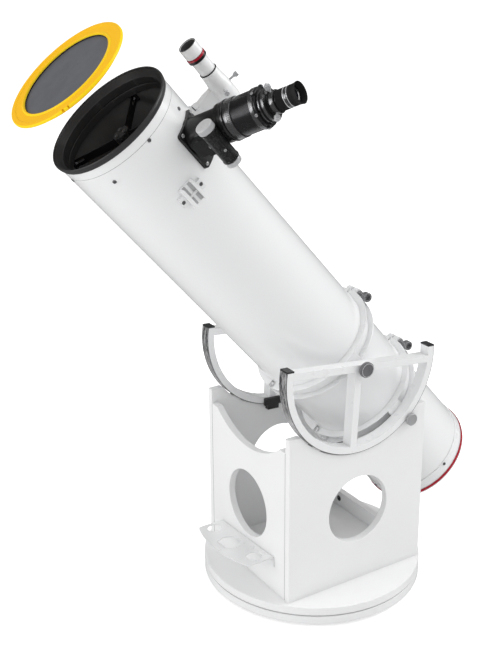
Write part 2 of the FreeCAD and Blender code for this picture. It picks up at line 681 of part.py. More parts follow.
# profiles: (radius, height)
DRAWTUBE = [
    (26.0, 126.0), (DRAW_R, 126.0), (DRAW_R, 207.6), (36.6, 207.6), (36.6, 222.6),
    (34.8, 223.4), (34.8, 260.0), (36.4, 261.0), (36.4, 268.6), (35.0, 270.0),
    (35.0, 273.5), (26.0, 273.5)]
ADAPTER = [
    (25.4, 248.0), (25.4, 273.6), (30.4, 273.6), (30.4, 278.6), (28.2, 279.4),
    (28.2, 280.6), (29.2, 281.0), (29.2, 286.4), (27.6, 287.6), (21.2, 288.2),
    (20.8, 289.0), (20.8, 300.0), (20.2, 300.7), (15.95, 300.7), (15.95, 248.0)]
EYEPIECE = [
    (15.9, 262.0), (15.9, 300.8), (18.0, 300.8), (18.0, 302.0), (17.4, 302.4),
    (17.4, 315.6), (18.2, 316.2), (18.2, 326.4), (17.0, 327.0), (17.0, 331.0),
    (14.0, 333.0), (9.0, 332.0), (9.0, 328.0), (13.4, 327.0), (13.4, 262.0)]
EYECUP = [
    (17.05, 327.2), (18.5, 327.2), (18.5, 334.0), (19.6, 339.5), (20.8, 344.4),
    (19.8, 345.0), (17.6, 338.5), (16.0, 333.4), (16.0, 332.2), (17.05, 331.6)]


def focuser_body():
    saddle = cylx(SADDLE_R, -52.0, 32.0).common(box(-52.0, 32.0, -38.0, 35.0, 90.0, 130.0))
    saddle = fillet(saddle, 6.0, lambda e: at(e.BoundBox.XLength, 0)
                    and at(e.BoundBox.YLength, 0) and e.BoundBox.ZLength > 3)
    pinion_y, pinion_z = PINION
    body = saddle.fuse([
        Part.makeCone(33.4, 31.0, 10.0, V(0, 0, 118.0)),
        cyl(31.0, 110, 188),
        cyl(35.5, 187, 207),
        cylx(15.0, -43.8, 25.6, *PINION),
        box(-24.0, 24.0, 5.0, pinion_y + 2.0, 150.0, pinion_z + 8.0),
        box(-20.0, 14.0, 20.0, 44.0, 132.0, 170.0)])
    # main tube, drawtube, pinion shaft, pinion and rack
    body = body.cut([
        cylx(TUBE_R + FIT, -200, 200),
        cyl(DRAW_R + FIT, 90, 290),
        cylx(SHAFT_R + FIT, -80, 60, *PINION),
        cylx(GEAR_R + 0.4, -8.6, 8.6, *PINION),
        box(-6.15, 6.15, 20.0, RACK_Y + 0.15, 126.0, 220.0)])
    # two grooves round the collar
    body = body.cut([pipe(40, 34.4, 192.6, 193.8), pipe(40, 34.4, 201.0, 202.2)])
    seats = [bore(*place, 3.75, SADDLE_R - FIT, SADDLE_R - FIT + 12) for place in FOCUSER_SCREWS]
    body = put(body.removeSplitter(), FOCUSER).cut(focuser_holes + seats)
    # the cuts may leave loose slivers; keep the largest solid
    return max(body.Solids, key=lambda s: abs(s.Volume))


def drawtube():
    """Lathe-turned tube with a rack and six lobes round the outer end."""
    lobes = [cyl(4.6, 268.6, 273.6, *polar(35.4, a)) for a in range(69, -291, -60)]
    rack = box(-6.0, 6.0, 24.0, RACK_Y, 134.0, 206.0)
    return fuse(revolve(DRAWTUBE), rack, *lobes).cut(cyl(26.0, 120, 320))


def focus_knobs():
    x0, x1 = -55.1, 38.6
    knobs = fuse(cylx(SHAFT_R, -46.0, 28.0, *PINION),
                 cylx(GEAR_R - 0.05, -8.0, 8.0, *PINION),
                 cylx(16.2, 26.5, x1, *PINION), cylx(14.6, x0, -44.5, *PINION))
    return fillet(knobs, 1.5, lambda e: at(e.CenterOfMass.x, x1) or at(e.CenterOfMass.x, x0))


adapter = revolve(ADAPTER)
adapter_screws = []
for angle in (110.0, -10.0):
    axis = (V(0, 0, ADAPTER_SCREW_Z), V(*polar(1, angle), 0))
    adapter = adapter.cut(rod(SCREW_R + FIT, 12.0, 32.0, *axis))
    screw = fuse(rod(SCREW_R, 16.4, 27.4, *axis), rod(3.2, 24.0, 27.5, *axis),
                 rod(5.6, 27.0, 34.5, *axis))
    adapter_screws.append(put(screw, FOCUSER))
export("focuser_body", focuser_body())
export("drawtube", put(drawtube(), FOCUSER))
export("focus_knobs", put(focus_knobs(), FOCUSER))
export("eyepiece_adapter", put(adapter, FOCUSER))
export("adapter_thumb_screws", *adapter_screws)
export("eyepiece", put(revolve(EYEPIECE), FOCUSER))
export("eyecup", put(revolve(EYECUP), FOCUSER))

# ---------------------------------------------------------------- finder and shoes
# Side frame: x along the tube, y across, z outwards. Axis frame: z along the finder.
FINDER_SIDE = radial(FINDER_ANGLE, 0.0)
SIDE_TO_AXIS = FreeCAD.Placement(V(0, 0, FINDER_H), FreeCAD.Rotation(V(0, 1, 0), 90))
FINDER = FINDER_SIDE.multiply(SIDE_TO_AXIS)
BARREL_R = 15.85        # bore of the bracket
# profiles: (radius, station)
BARREL = [
    (BARREL_R, 555.0), (18.4, 555.0), (19.6, 556.4), (20.2, 562.0), (20.2, 585.0),
    (19.4, 600.0), (17.9, 612.0), (17.2, 620.0), (17.1, 626.6), (16.6, 627.4),
    (BARREL_R, 627.4)]
FINDER_TUBE = [
    (13.6, 545.0), (15.6, 545.0), (15.6, 668.0), (17.2, 669.0), (17.5, 671.0),
    (17.5, 689.2), (17.0, 690.8), (16.6, 691.2), (15.4, 691.0), (14.9, 690.0),
    (14.9, 672.0), (14.6, 671.0), (14.6, 660.0), (13.6, 659.0)]
TRIM_RING = [
    (15.65, 658.4), (17.6, 658.4), (18.3, 659.2), (18.3, 667.2), (17.6, 668.0),
    (15.65, 668.0)]
FINDER_EYEPIECE = [
    (13.55, 556.0), (13.55, 544.95), (15.4, 544.9), (15.7, 541.0), (15.0, 534.0),
    (13.6, 529.4), (11.8, 528.4), (8.6, 528.8), (7.6, 531.5), (7.6, 556.0)]
# bracket web: (x, z) outline
WEB = [
    (549, 134), (594, 134), (597.5, 152), (598.5, FINDER_H - 15.0),
    (563, FINDER_H - 15.0), (556, 150), (549, 134)]


def saddle_block(x0, x1, half_width):
    block = box(x0, x1, -half_width, half_width, 100.0, SHOE_TOP)
    return block.cut(cylx(TUBE_R + FIT, -900, 1100))


def rails(x0, x1, inner, outer, top):
    return [box(x0, x1, y0, y1, SHOE_TOP - 0.5, top)
            for y0, y1 in ((-outer, -inner), (inner, outer))]


def finder_bracket():
    web = Part.Face(Part.makePolygon([V(x, -8.0, z) for x, z in WEB])).extrude(V(0, 16.0, 0))
    bracket = fuse(box(547.0, 594.0, -11.4, 11.4, 126.2, 137.0), web)
    bracket = bracket.fuse(put(revolve(BARREL), SIDE_TO_AXIS))
    bracket = bracket.fuse(rod(4.6, 18.0, 29.0, V(587.0, 0, FINDER_H), V(0, *polar(1, 221.0))))
    return bracket.cut(cylx(BARREL_R, 545, 635, 0, FINDER_H))


def accessory_shoe():
    shoe = saddle_block(524.0, 544.0, 27.0).fuse(
        [saddle_block(512.0, 556.0, 15.0)] + rails(512.0, 556.0, 9.5, 15.0, 135.0))
    seats = [bore(*place, 3.7, SHOE_TOP - FIT, SHOE_TOP - FIT + 14) for place in ACCESSORY_SCREWS]
    return put(shoe.removeSplitter(), radial(-3.5, 0.0)).cut(accessory_holes + seats)


shoe = fuse(saddle_block(542.0, 595.0, 17.0), *rails(545.0, 592.0, 11.5, 17.0, 134.0))
export("finder_shoe", put(shoe, FINDER_SIDE).cut(finder_holes))
bracket = finder_bracket()
finder_screws = []
for angle in (86.0, -4.0):
    axis = (V(588.0, 0, FINDER_H), V(0, *polar(1, angle)))
    bracket = bracket.cut(rod(SCREW_R + FIT, 12.0, 42.0, *axis))
    screw = fuse(rod(SCREW_R, 15.75, 34.75, *axis), rod(4.6, 31.0, 38.0, *axis))
    finder_screws.append(put(screw, FINDER_SIDE))
export("finder_bracket", put(bracket.removeSplitter(), FINDER_SIDE))
export("finder_thumb_screws", *finder_screws)
export("finder_tube", put(revolve(FINDER_TUBE), FINDER))
export("finder_trim_ring", put(revolve(TRIM_RING), FINDER))
lens = cyl(14.85, 672.05, 678.05).common(Part.makeSphere(70.0, V(0, 0, 608.0)))
export("finder_objective", put(lens, FINDER))
export("finder_eyepiece", put(revolve(FINDER_EYEPIECE), FINDER))
export("accessory_shoe", accessory_shoe())

# ---------------------------------------------------------------- solar filter
# frame profile: (radius, distance behind the front face)
FILTER_FRAME = [
    (121.0, 5.3), (121.0, 1.8), (119.8, 0.5), (112.0, 0.4), (110.5, 1.6), (97.0, 1.8),
    (94.6, 0), (92.0, 0), (90.4, 1.0), (89.6, 3.0), (89.6, 8.6), (98.0, 8.6), (98.0, 5.3),
    (105.5, 5.3), (105.5, 11.0), (110.2, 11.0), (110.2, 5.3)]
filter_frame = revolve([(r, FILTER_FACE - back) for r, back in FILTER_FRAME])
# groove that holds the film
filter_frame = filter_frame.cut(pipe(93.1, 80.0, FILTER_FACE - 6.4, FILTER_FACE - 4.7))
export("filter_frame", put(filter_frame, TUBE))
export("filter_film", put(cyl(93.0, FILTER_FACE - 6.3, FILTER_FACE - 4.8), TUBE))
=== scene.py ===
"""Reflecting telescope on a rocker box, with a finder and a solar filter ahead of the tube.

+Z is up, -Y is the front of the box and +X is its right side as seen from the front.
The tube turns about the X axis through PIVOT; its front end points up and towards -Y.
Geometry is in millimetres and becomes metres in piece(). Materials, lights, floor and
camera are in metres. Angles are in degrees.
"""
import math

import bmesh
import bpy
import numpy as np
from mathutils import Matrix, Vector


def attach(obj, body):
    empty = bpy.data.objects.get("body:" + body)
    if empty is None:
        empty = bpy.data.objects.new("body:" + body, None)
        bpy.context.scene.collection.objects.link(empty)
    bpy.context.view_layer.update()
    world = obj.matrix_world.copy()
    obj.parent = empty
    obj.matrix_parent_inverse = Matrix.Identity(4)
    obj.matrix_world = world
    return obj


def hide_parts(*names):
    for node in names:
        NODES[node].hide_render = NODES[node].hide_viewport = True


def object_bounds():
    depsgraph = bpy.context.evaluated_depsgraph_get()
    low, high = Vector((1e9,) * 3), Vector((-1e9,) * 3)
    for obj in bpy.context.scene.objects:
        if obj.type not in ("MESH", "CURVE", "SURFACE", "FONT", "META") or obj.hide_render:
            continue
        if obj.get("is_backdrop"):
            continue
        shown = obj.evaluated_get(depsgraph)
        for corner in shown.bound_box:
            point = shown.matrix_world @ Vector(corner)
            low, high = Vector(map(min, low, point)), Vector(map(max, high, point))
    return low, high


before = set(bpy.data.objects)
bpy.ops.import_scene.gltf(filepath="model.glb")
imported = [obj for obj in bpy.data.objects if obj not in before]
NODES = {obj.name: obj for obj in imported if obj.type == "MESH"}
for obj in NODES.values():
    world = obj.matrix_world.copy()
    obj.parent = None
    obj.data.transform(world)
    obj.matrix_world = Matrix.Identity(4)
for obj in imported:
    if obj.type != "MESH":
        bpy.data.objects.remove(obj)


def plain(b):
    """Bounds as plain lists of numbers, whatever shape they come in."""
    if isinstance(b, dict):
        return {k: plain(v) for k, v in b.items()}
    try:
        return [plain(v) for v in b]
    except TypeError:
        return float(b)


CAD_BOX = plain(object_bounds())
rad = math.radians

# ------------------------------------------------------------------ driving dimensions
PIVOT = (0.0, 5.5, 532.3)
ELEVATION = 48.66             # of the tube's axis above the floor
BEARING_TILT = -3.1           # of the bearing frames about X

# Angles run round the tube from its +x towards its +y; distances along it start at the pivot.
TUBE_RADIUS = 120.0
TUBE_INSIDE = 118.8
TUBE_FRONT = 680.9
TUBE_REAR = -412.0
QUARTERS = (0, 90, 180, 270)
DIAGONALS = (45, 135, 225, 315)
SPIDER_ALONG = 641.6
RINGS_ALONG = (7.6, -169.6)   # upper and lower tube ring
FOCUSER_ANGLE = 36.5
FOCUSER_ALONG = 591.0
FINDER_ANGLE = 76.0
FINDER_OUT = 188.4            # finder axis from the tube's axis
SHOE_ANGLE = -3.5
FILTER_FRONT = 803.0          # front face of the solar filter

# ------------------------------------------------------------------ local frames
Z_TO_X = Matrix.Rotation(rad(90), 4, "Y")
Z_TO_MINUS_X = Matrix.Rotation(rad(-90), 4, "Y")
FLIP = Matrix.Rotation(math.pi, 4, "X")

TUBE = Matrix.Translation(PIVOT) @ Matrix.Rotation(rad(90.0 - ELEVATION), 4, "X")
BEARINGS = Matrix.Translation(PIVOT) @ Matrix.Rotation(rad(BEARING_TILT), 4, "X")


def radial(angle, along):
    """Frame on the tube's axis: x runs towards the front end, z points outwards."""
    c, s = math.cos(rad(angle)), math.sin(rad(angle))
    return TUBE @ Matrix(((0, s, c, 0), (0, -c, s, 0), (1, 0, 0, along), (0, 0, 0, 1)))


def on_tube(angle, along, radius):
    """The radial frame, moved out to a radius."""
    return radial(angle, along) @ Matrix.Translation((0, 0, radius))


def axis_frame(origin, direction):
    """Frame standing at origin with its z along direction."""
    turn = Vector((0, 0, 1)).rotation_difference(direction.normalized())
    return Matrix.Translation(origin) @ turn.to_matrix().to_4x4()


def polar(radius, angle):
    return radius * math.cos(rad(angle)), radius * math.sin(rad(angle))


FOCUSER = radial(FOCUSER_ANGLE, FOCUSER_ALONG)
PINION = FOCUSER @ Matrix.Translation((0, 41.0, 179.4))
FINDER_SIDE = radial(FINDER_ANGLE, 0.0)
FINDER = FINDER_SIDE @ Matrix.Translation((0, 0, FINDER_OUT)) @ Z_TO_X


# ------------------------------------------------------------------ geometry
# A part is (vertices, faces, material index per face).
def moved(vertices, place):
    if place is None:
        return vertices
    matrix = np.array(place)
    return vertices @ matrix[:3, :3].T + matrix[:3, 3]


def lathe(profile, segments, place=None, knurl=None, shape=None, material=0):
    """Closed (radius, z) profile turned about z; a point with a third value is a hexagon.

    knurl is (count, depth, lowest z, highest z, least radius).
    shape(angle, radius, z) may return new radii.
    """
    count = len(profile)
    angle = np.linspace(0, 2 * np.pi, segments, endpoint=False)
    r = np.repeat(np.array([p[0] for p in profile], float)[:, None], segments, 1)
    z = np.repeat(np.array([p[1] for p in profile], float)[:, None], segments, 1)
    is_hex = np.array([len(p) > 2 for p in profile])
    hexagon = 1.0 / np.cos((angle + math.pi / 6) % (math.pi / 3) - math.pi / 6)
    r = np.where(is_hex[:, None], r * hexagon[None, :], r)
    if knurl:
        ridges, depth, low, high, least = knurl
        wave = np.abs(((angle * ridges / (2 * np.pi)) % 1.0) - 0.5) * 2.0
        r = r - depth * wave[None, :] * ((z >= low) & (z <= high) & (r >= least))
    if shape:
        r = shape(np.repeat(angle[None, :], count, 0), r, z)
    across = r * np.cos(angle)[None, :]
    vertices = np.stack([across, r * np.sin(angle)[None, :], z], -1).reshape(-1, 3)
    faces = []
    for i in range(count):
        j = (i + 1) % count
        for s in range(segments):
            t = (s + 1) % segments
            faces.append((i * segments + s, i * segments + t, j * segments + t, j * segments + s))
    return moved(vertices, place), faces, [material] * len(faces)


def soften(outline, rounding, steps=3):
    """Rounds the corners of a closed (r, z) outline; a third value is that corner's rounding."""
    out = []
    for i, point in enumerate(outline):
        radius = point[2] if len(point) > 2 else rounding
        before = Vector(outline[i - 1][:2])
        corner = Vector(point[:2])
        after = Vector(outline[(i + 1) % len(outline)][:2])
        u, w = before - corner, after - corner
        if radius <= 0 or u.length < 1e-6 or w.length < 1e-6 or abs(corner.x) < 1e-6:
            out.append(tuple(corner))
            continue
        cut = min(radius, u.length * 0.45, w.length * 0.45)
        start, end = corner + u.normalized() * cut, corner + w.normalized() * cut
        for j in range(steps + 1):
            t = j / steps
            q = start * (1 - t) ** 2 + corner * 2 * t * (1 - t) + end * t ** 2
            out.append((q.x, q.y))
    return out


def turned(outline, rounding, segments, place=None, knurl=None, material=0):
    """A softened (radius, z) outline, turned about z."""
    return lathe(soften(outline, rounding), segments, place, knurl, None, material)


def band(inner, outer, low, high):
    """Rectangular (radius, z) outline of a ring."""
    return [(inner, low), (outer, low), (outer, high), (inner, high)]


def box(low, high, bevel=0.0, place=None, material=0, segments=2):
    bm = bmesh.new()
    bmesh.ops.create_cube(bm, size=1.0)
    low, high = Vector(low), Vector(high)
    for v in bm.verts:
        v.co = Vector((low[i] + (v.co[i] + 0.5) * (high[i] - low[i]) for i in range(3)))
    if bevel > 0:
        bmesh.ops.bevel(bm, geom=list(bm.edges), offset=bevel, segments=segments,
                        profile=0.5, affect="EDGES")
    bm.verts.index_update()
    vertices = np.array([tuple(v.co) for v in bm.verts])
    faces = [tuple(v.index for v in face.verts) for face in bm.faces]
    bm.free()
    return moved(vertices, place), faces, [material] * len(faces)


def cap(radius, height, place=None, material=0, depth=0.6):
    """Round head with a hex socket, its seat at z = 0; depth is a fraction of the height."""
    socket = radius * 0.48
    profile = soften([(0, 0), (radius, 0), (radius, height), (socket * 1.12, height),
                      (socket, height - 0.25, 0)], min(0.5, height * 0.25))
    floor_z = height * (1 - depth)
    profile += [(socket * 0.98, height - 0.3, "hex"), (socket * 0.96, floor_z, "hex"),
                (0, floor_z)]
    return lathe(profile, 36, place, material=material)


def piece(name, parts, body, materials, place=None, replaces=None, sharp=32.0):
    arrays, faces, indices, offset = [], [], [], 0
    for part_vertices, part_faces, part_indices in parts:
        arrays.append(np.asarray(part_vertices, float))
        faces += [tuple(i + offset for i in face) for face in part_faces]
        indices += part_indices
        offset += len(part_vertices)
    vertices = moved(np.concatenate(arrays), place)
    mesh = bpy.data.meshes.new(name)
    mesh.from_pydata((vertices * 0.001).tolist(), [], faces)
    for material in materials if isinstance(materials, list) else [materials]:
        mesh.materials.append(material)
    for polygon, index in zip(mesh.polygons, indices):
        polygon.material_index = index
    bm = bmesh.new()
    bm.from_mesh(mesh)
    bmesh.ops.remove_doubles(bm, verts=bm.verts, dist=2e-7)
    bmesh.ops.dissolve_degenerate(bm, dist=1e-8, edges=bm.edges)
    bmesh.ops.recalc_face_normals(bm, faces=bm.faces)
    bm.to_mesh(mesh)
    bm.free()
    mesh.shade_smooth()
    mesh.set_sharp_from_angle(angle=rad(sharp))
    ob = bpy.data.objects.new(name, mesh)
    bpy.context.scene.collection.objects.link(ob)
    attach(ob, body)
    if replaces:
        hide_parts(replaces)


# ------------------------------------------------------------------ material helpers
class Shader:
    """A node material round one Principled shader, with helpers that add and wire nodes."""

    def __init__(self, name):
        self.material = bpy.data.materials.new(name)
        self.material.use_nodes = True
        self.tree = self.material.node_tree
        self.tree.nodes.clear()
        output = self.node("ShaderNodeOutputMaterial")
        self.principled = self.node("ShaderNodeBsdfPrincipled")
        self.link(self.principled.outputs[0], output.inputs[0])
        self.coords = self.node("ShaderNodeTexCoord").outputs["Object"]

    def node(self, kind, **settings):
        node = self.tree.nodes.new(kind)
        for key, value in settings.items():
            setattr(node, key, value)
        return node

    def link(self, source, target):
        self.tree.links.new(source, target)

    def feed(self, name, source):
        """Wires a socket into the named input of the Principled shader."""
        self.link(source, self.principled.inputs[name])

    def set(self, **values):
        for key, value in values.items():
            self.principled.inputs[key.replace("_", " ")].default_value = value

    def noise(self, scale, detail=4.0, rough=0.5, stretch=(1, 1, 1)):
        node = self.node("ShaderNodeTexNoise")
        node.inputs["Scale"].default_value = scale
        node.inputs["Detail"].default_value = detail
        node.inputs["Roughness"].default_value = rough
        mapping = self.node("ShaderNodeMapping")
        mapping.inputs["Scale"].default_value = stretch
        self.link(self.coords, mapping.inputs["Vector"])
        self.link(mapping.outputs[0], node.inputs["Vector"])
        return node.outputs[0]

    def ramp(self, source, span, to=(0.0, 1.0)):
        """Maps the source's range span onto the range to."""
        node = self.node("ShaderNodeMapRange")
        for key, value in zip(("From Min", "From Max", "To Min", "To Max"), (*span, *to)):
            node.inputs[key].default_value = value
        self.link(source, node.inputs["Value"])
        return node.outputs[0]

    def mix(self, factor, a, b):
        """Colour mix; a and b are each a colour or a socket."""
        node = self.node("ShaderNodeMix", data_type="RGBA")
        self.link(factor, node.inputs["Factor"])
        for target, value in ((node.inputs[6], a), (node.inputs[7], b)):
            if isinstance(value, tuple):
                target.default_value = (*value, 1.0)
            else:
                self.link(value, target)
        return node.outputs[2]

    def multiply(self, a, b):
        node = self.node("ShaderNodeMath", operation="MULTIPLY")
        self.link(a, node.inputs[0])
        self.link(b, node.inputs[1])
        return node.outputs[0]

    def bump(self, height, strength, distance, normal=None):
        node = self.node("ShaderNodeBump")
        node.inputs["Strength"].default_value = strength
        node.inputs["Distance"].default_value = distance
        self.link(height, node.inputs["Height"])
        if normal is not None:
            self.link(normal, node.inputs["Normal"])
        return node.outputs[0]


def finish(name, color, rough=0.4, metal=0.0, coat=0.0, coat_rough=0.06, dark=None, vary=0.04,
           rough_vary=0.10, rough_scale=30.0, bumps=((900.0, 0.05, 0.0002),), bevel=0.0,
           painted_shade=0.0, painted_shade_reach=0.012, spec=0.5, wear=None, aniso=0.0):
    """Painted, cast, moulded or turned surface.

    The colour is mottled with dark, or with itself dimmed by vary. painted_shade darkens
    corners and recesses found by ambient occlusion (painted shade); wear is the colour of rubbed
    edges. bumps are (noise scale, strength, distance), coarse or fine, laid over each other.
    """
    k = Shader(name)
    mottle = k.noise(7.0, detail=5.0, rough=0.55)
    dark = dark or tuple(c * (1.0 - vary) for c in color)
    base = k.mix(k.ramp(mottle, span=(0.35, 0.65)), dark, color)
    # Painted shade: corners and recesses that ambient occlusion finds are darkened.
    if painted_shade > 0:
        occlusion = k.node("ShaderNodeAmbientOcclusion", samples=6)
        occlusion.inputs["Distance"].default_value = painted_shade_reach
        amount = k.ramp(occlusion.outputs["AO"], span=(0.15, 0.95), to=(painted_shade, 0.0))
        base = k.mix(amount, base, tuple(c * 0.35 for c in color))
    if wear:
        geometry = k.node("ShaderNodeNewGeometry")
        edges = k.ramp(geometry.outputs["Pointiness"], span=(0.52, 0.60))
        broken = k.ramp(k.noise(420.0, detail=6.0, rough=0.7), span=(0.48, 0.62))
        base = k.mix(k.multiply(edges, broken), base, wear)
    k.feed("Base Color", base)
    fine = k.noise(rough_scale, detail=6.0, rough=0.6)
    rough_range = (max(0.02, rough - rough_vary / 2), rough + rough_vary / 2)
    k.feed("Roughness", k.ramp(fine, span=(0.3, 0.7), to=rough_range))
    k.set(Metallic=metal, Coat_Weight=coat, Coat_Roughness=coat_rough,
          Specular_IOR_Level=spec, Anisotropic=aniso)
    normal = None
    if bevel > 0:
        edge = k.node("ShaderNodeBevel", samples=4)
        edge.inputs["Radius"].default_value = bevel
        normal = edge.outputs[0]
    for scale, strength, distance in bumps:
        height = k.noise(scale, detail=3.0, rough=0.5)
        normal = k.bump(height, strength, distance, normal)
    if normal is not None:
        k.feed("Normal", normal)
    return k.material


def mute_reflections(material):
    """Makes a colour grey in mirror-like reflections, so it doesn't tint the black parts."""
    tree = material.node_tree
    principled = next(q for q in tree.nodes if q.type == "BSDF_PRINCIPLED")
    base = principled.inputs["Base Color"]
    mix = tree.nodes.new("ShaderNodeMix")
    mix.data_type = "RGBA"
    source = base.links[0].from_socket
    path = tree.nodes.new("ShaderNodeLightPath")
    tree.links.new(path.outputs["Is Glossy Ray"], mix.inputs[0])
    tree.links.new(source, mix.inputs[6])
    mix.inputs[7].default_value = (0.10, 0.10, 0.10, 1.0)
    tree.links.new(mix.outputs[2], base)


# ------------------------------------------------------------------ plain finishes
# Both white finishes darken their corners and recesses with painted shade.
white_board = finish(
    "white_lacquered_board", (0.87, 0.872, 0.875), rough=0.42, coat=0.15, coat_rough=0.25,
    vary=0.02, bumps=((1500.0, 0.10, 0.0002), (160.0, 0.03, 0.0004)), bevel=0.0008, painted_shade=0.16)
white_cast = finish(
    "white_enamel_casting", (0.86, 0.865, 0.87), rough=0.30, coat=0.5, coat_rough=0.12,
    vary=0.02, bumps=((1100.0, 0.06, 0.0002), (260.0, 0.05, 0.0004)), bevel=0.0010, painted_shade=0.16)
black_cast = finish(
    "black_enamel_casting", (0.0065, 0.0065, 0.007), rough=0.36, coat=0.15, coat_rough=0.16,
    dark=(0.005, 0.005, 0.0055), spec=0.4, bevel=0.0008, wear=(0.05, 0.05, 0.05),
    bumps=((1400.0, 0.10, 0.0002), (300.0, 0.05, 0.0003)))
black_anodised = finish(
    "black_anodised", (0.020, 0.020, 0.022), rough=0.30, metal=0.35, dark=(0.015, 0.015, 0.016),
    rough_vary=0.08, bumps=((2200.0, 0.05, 0.0001),), bevel=0.0005, aniso=0.3, spec=0.6)
black_plastic = finish(
    "black_moulded", (0.018, 0.018, 0.019), rough=0.42, dark=(0.013, 0.013, 0.014),
    bumps=((1800.0, 0.16, 0.0002),), bevel=0.0007, wear=(0.045, 0.045, 0.047))
rubber = finish(
    "black_rubber", (0.020, 0.020, 0.020), rough=0.72, dark=(0.014, 0.014, 0.014),
    rough_vary=0.14, bumps=((2600.0, 0.25, 0.0002), (500.0, 0.1, 0.0002)), spec=0.35)
steel = finish(
    "bright_steel", (0.62, 0.62, 0.63), rough=0.26, metal=0.60, vary=0.12, rough_vary=0.14,
    rough_scale=300.0, bumps=((1600.0, 0.05, 0.0001),), bevel=0.0003)
chrome = finish(
    "chrome_plate", (0.84, 0.84, 0.85), rough=0.12, metal=0.60, vary=0.05, rough_vary=0.06,
    bumps=((400.0, 0.03, 0.0002),), bevel=0.0004)
clear_anodised = finish(
    "clear_anodised", (0.68, 0.685, 0.70), rough=0.30, metal=0.50, vary=0.06, rough_vary=0.12,
    rough_scale=220.0, bumps=((1800.0, 0.07, 0.0001),), bevel=0.0004, aniso=0.4)
grey_anodised = finish(
    "grey_anodised", (0.19, 0.19, 0.20), rough=0.42, metal=0.3, vary=0.10, rough_vary=0.14,
    rough_scale=500.0, bumps=((2400.0, 0.18, 0.0002),), bevel=0.0004)
black_gloss = finish(
    "black_gloss_enamel", (0.007, 0.007, 0.0075), rough=0.20, coat=0.5, coat_rough=0.10,
    dark=(0.005, 0.005, 0.0055), rough_vary=0.05, bumps=((700.0, 0.03, 0.0001),),
    bevel=0.0005, spec=0.8)
black_satin = finish(
    "black_satin_anodised", (0.030, 0.030, 0.032), rough=0.26, metal=0.60,
    dark=(0.024, 0.024, 0.026), rough_vary=0.05, bumps=((1500.0, 0.03, 0.0001),),
    bevel=0.0004, spec=0.7)
turned_ring = finish(
    "bright_turned_ring", (0.20, 0.20, 0.205), rough=0.22, metal=0.92, vary=0.12,
    rough_vary=0.05, rough_scale=400.0, bumps=((2000.0, 0.04, 0.0001),), bevel=0.0003)
dark_zinc = finish(
    "dark_zinc_screw", (0.20, 0.20, 0.205), rough=0.35, metal=0.6, vary=0.2, rough_vary=0.15,
    rough_scale=400.0, bumps=((1600.0, 0.08, 0.0001),), bevel=0.0003)
dark_nickel = finish(
    "dark_nickel_knob", (0.36, 0.36, 0.37), rough=0.28, metal=0.60, vary=0.15, rough_vary=0.12,
    rough_scale=400.0, bumps=((2000.0, 0.08, 0.0001),), bevel=0.0003)
silver_anodised = finish(
    "silver_anodised_knob", (0.72, 0.725, 0.735), rough=0.34, metal=0.35, vary=0.05,
    rough_vary=0.10, rough_scale=500.0, bumps=((1800.0, 0.06, 0.0001),), bevel=0.0004,
    aniso=0.3)
grey_zinc = finish(
    "grey_zinc_knob", (0.50, 0.50, 0.51), rough=0.38, metal=0.35, vary=0.10, rough_vary=0.12,
    rough_scale=500.0, bumps=((2200.0, 0.14, 0.0002),), bevel=0.0004)
# Grey for seams and joint lines: partly their own tone, partly painted shade in their grooves.
seam_grey_and_shade = finish("seam_grey_and_shade", (0.30, 0.30, 0.31), rough=0.5, bumps=((900.0, 0.05, 0.0001),))
joint_line = finish("dark_joint_line", (0.10, 0.10, 0.105), rough=0.4, metal=0.4,
                    bumps=((900.0, 0.1, 0.0002),))
dark_lens = finish("dark_coated_lens", (0.012, 0.012, 0.022), rough=0.05, coat=1.0,
                   coat_rough=0.03, rough_vary=0.02, bumps=(), spec=0.9)
glide_plastic = finish("white_glide_plastic", (0.72, 0.72, 0.70), rough=0.38, vary=0.04,
                       bumps=((700.0, 0.05, 0.0002),))
red_enamel = finish("red_enamel", (0.42, 0.004, 0.022), rough=0.25, coat=0.6, coat_rough=0.1,
                    vary=0.12, bumps=((900.0, 0.05, 0.0001),))
# The yellow coat darkens its corners and recesses with painted shade, within a short reach.
yellow = finish(
    "yellow_powder_coat", (0.93, 0.515, 0.004), rough=0.52, coat=0.04, coat_rough=0.25,
    dark=(0.91, 0.49, 0.003), spec=0.16, painted_shade=0.30, painted_shade_reach=0.006,
    bumps=((1500.0, 0.12, 0.0002), (420.0, 0.06, 0.0003)))
# Lighter copy of the yellow: painted highlight on the rim's outer edge, bead and inner lip.
yellow_highlight_copy = finish(
    "yellow_powder_coat_highlight_copy", (0.99, 0.70, 0.004), rough=0.50, coat=0.06, coat_rough=0.25,
    dark=(0.97, 0.67, 0.003), spec=0.2, bumps=((1500.0, 0.12, 0.0002),))
black_ring = finish(
    "black_moulded_ring", (0.038, 0.038, 0.040), rough=0.42, coat=0.15, coat_rough=0.25,
    dark=(0.030, 0.030, 0.031), bevel=0.0006, wear=(0.09, 0.09, 0.09),
    bumps=((1500.0, 0.12, 0.0002), (300.0, 0.05, 0.0003)))
for yellow_coat in (yellow, yellow_highlight_copy):
    mute_reflections(yellow_coat)
shoe_floor = finish("shoe_channel_grey", (0.46, 0.46, 0.47), rough=0.45,
                    bumps=((900.0, 0.08, 0.0002),))
mirror_coating = finish("mirror_coating", (0.86, 0.87, 0.89), rough=0.03, metal=1.0, vary=0.01,
                        rough_vary=0.02, bumps=())
# Near-black that paints the shade of a hole (painted shade).
hole_shade_black = finish("hole_shade_black", (0.006, 0.006, 0.006), rough=0.7, bumps=((900.0, 0.1, 0.0002),))


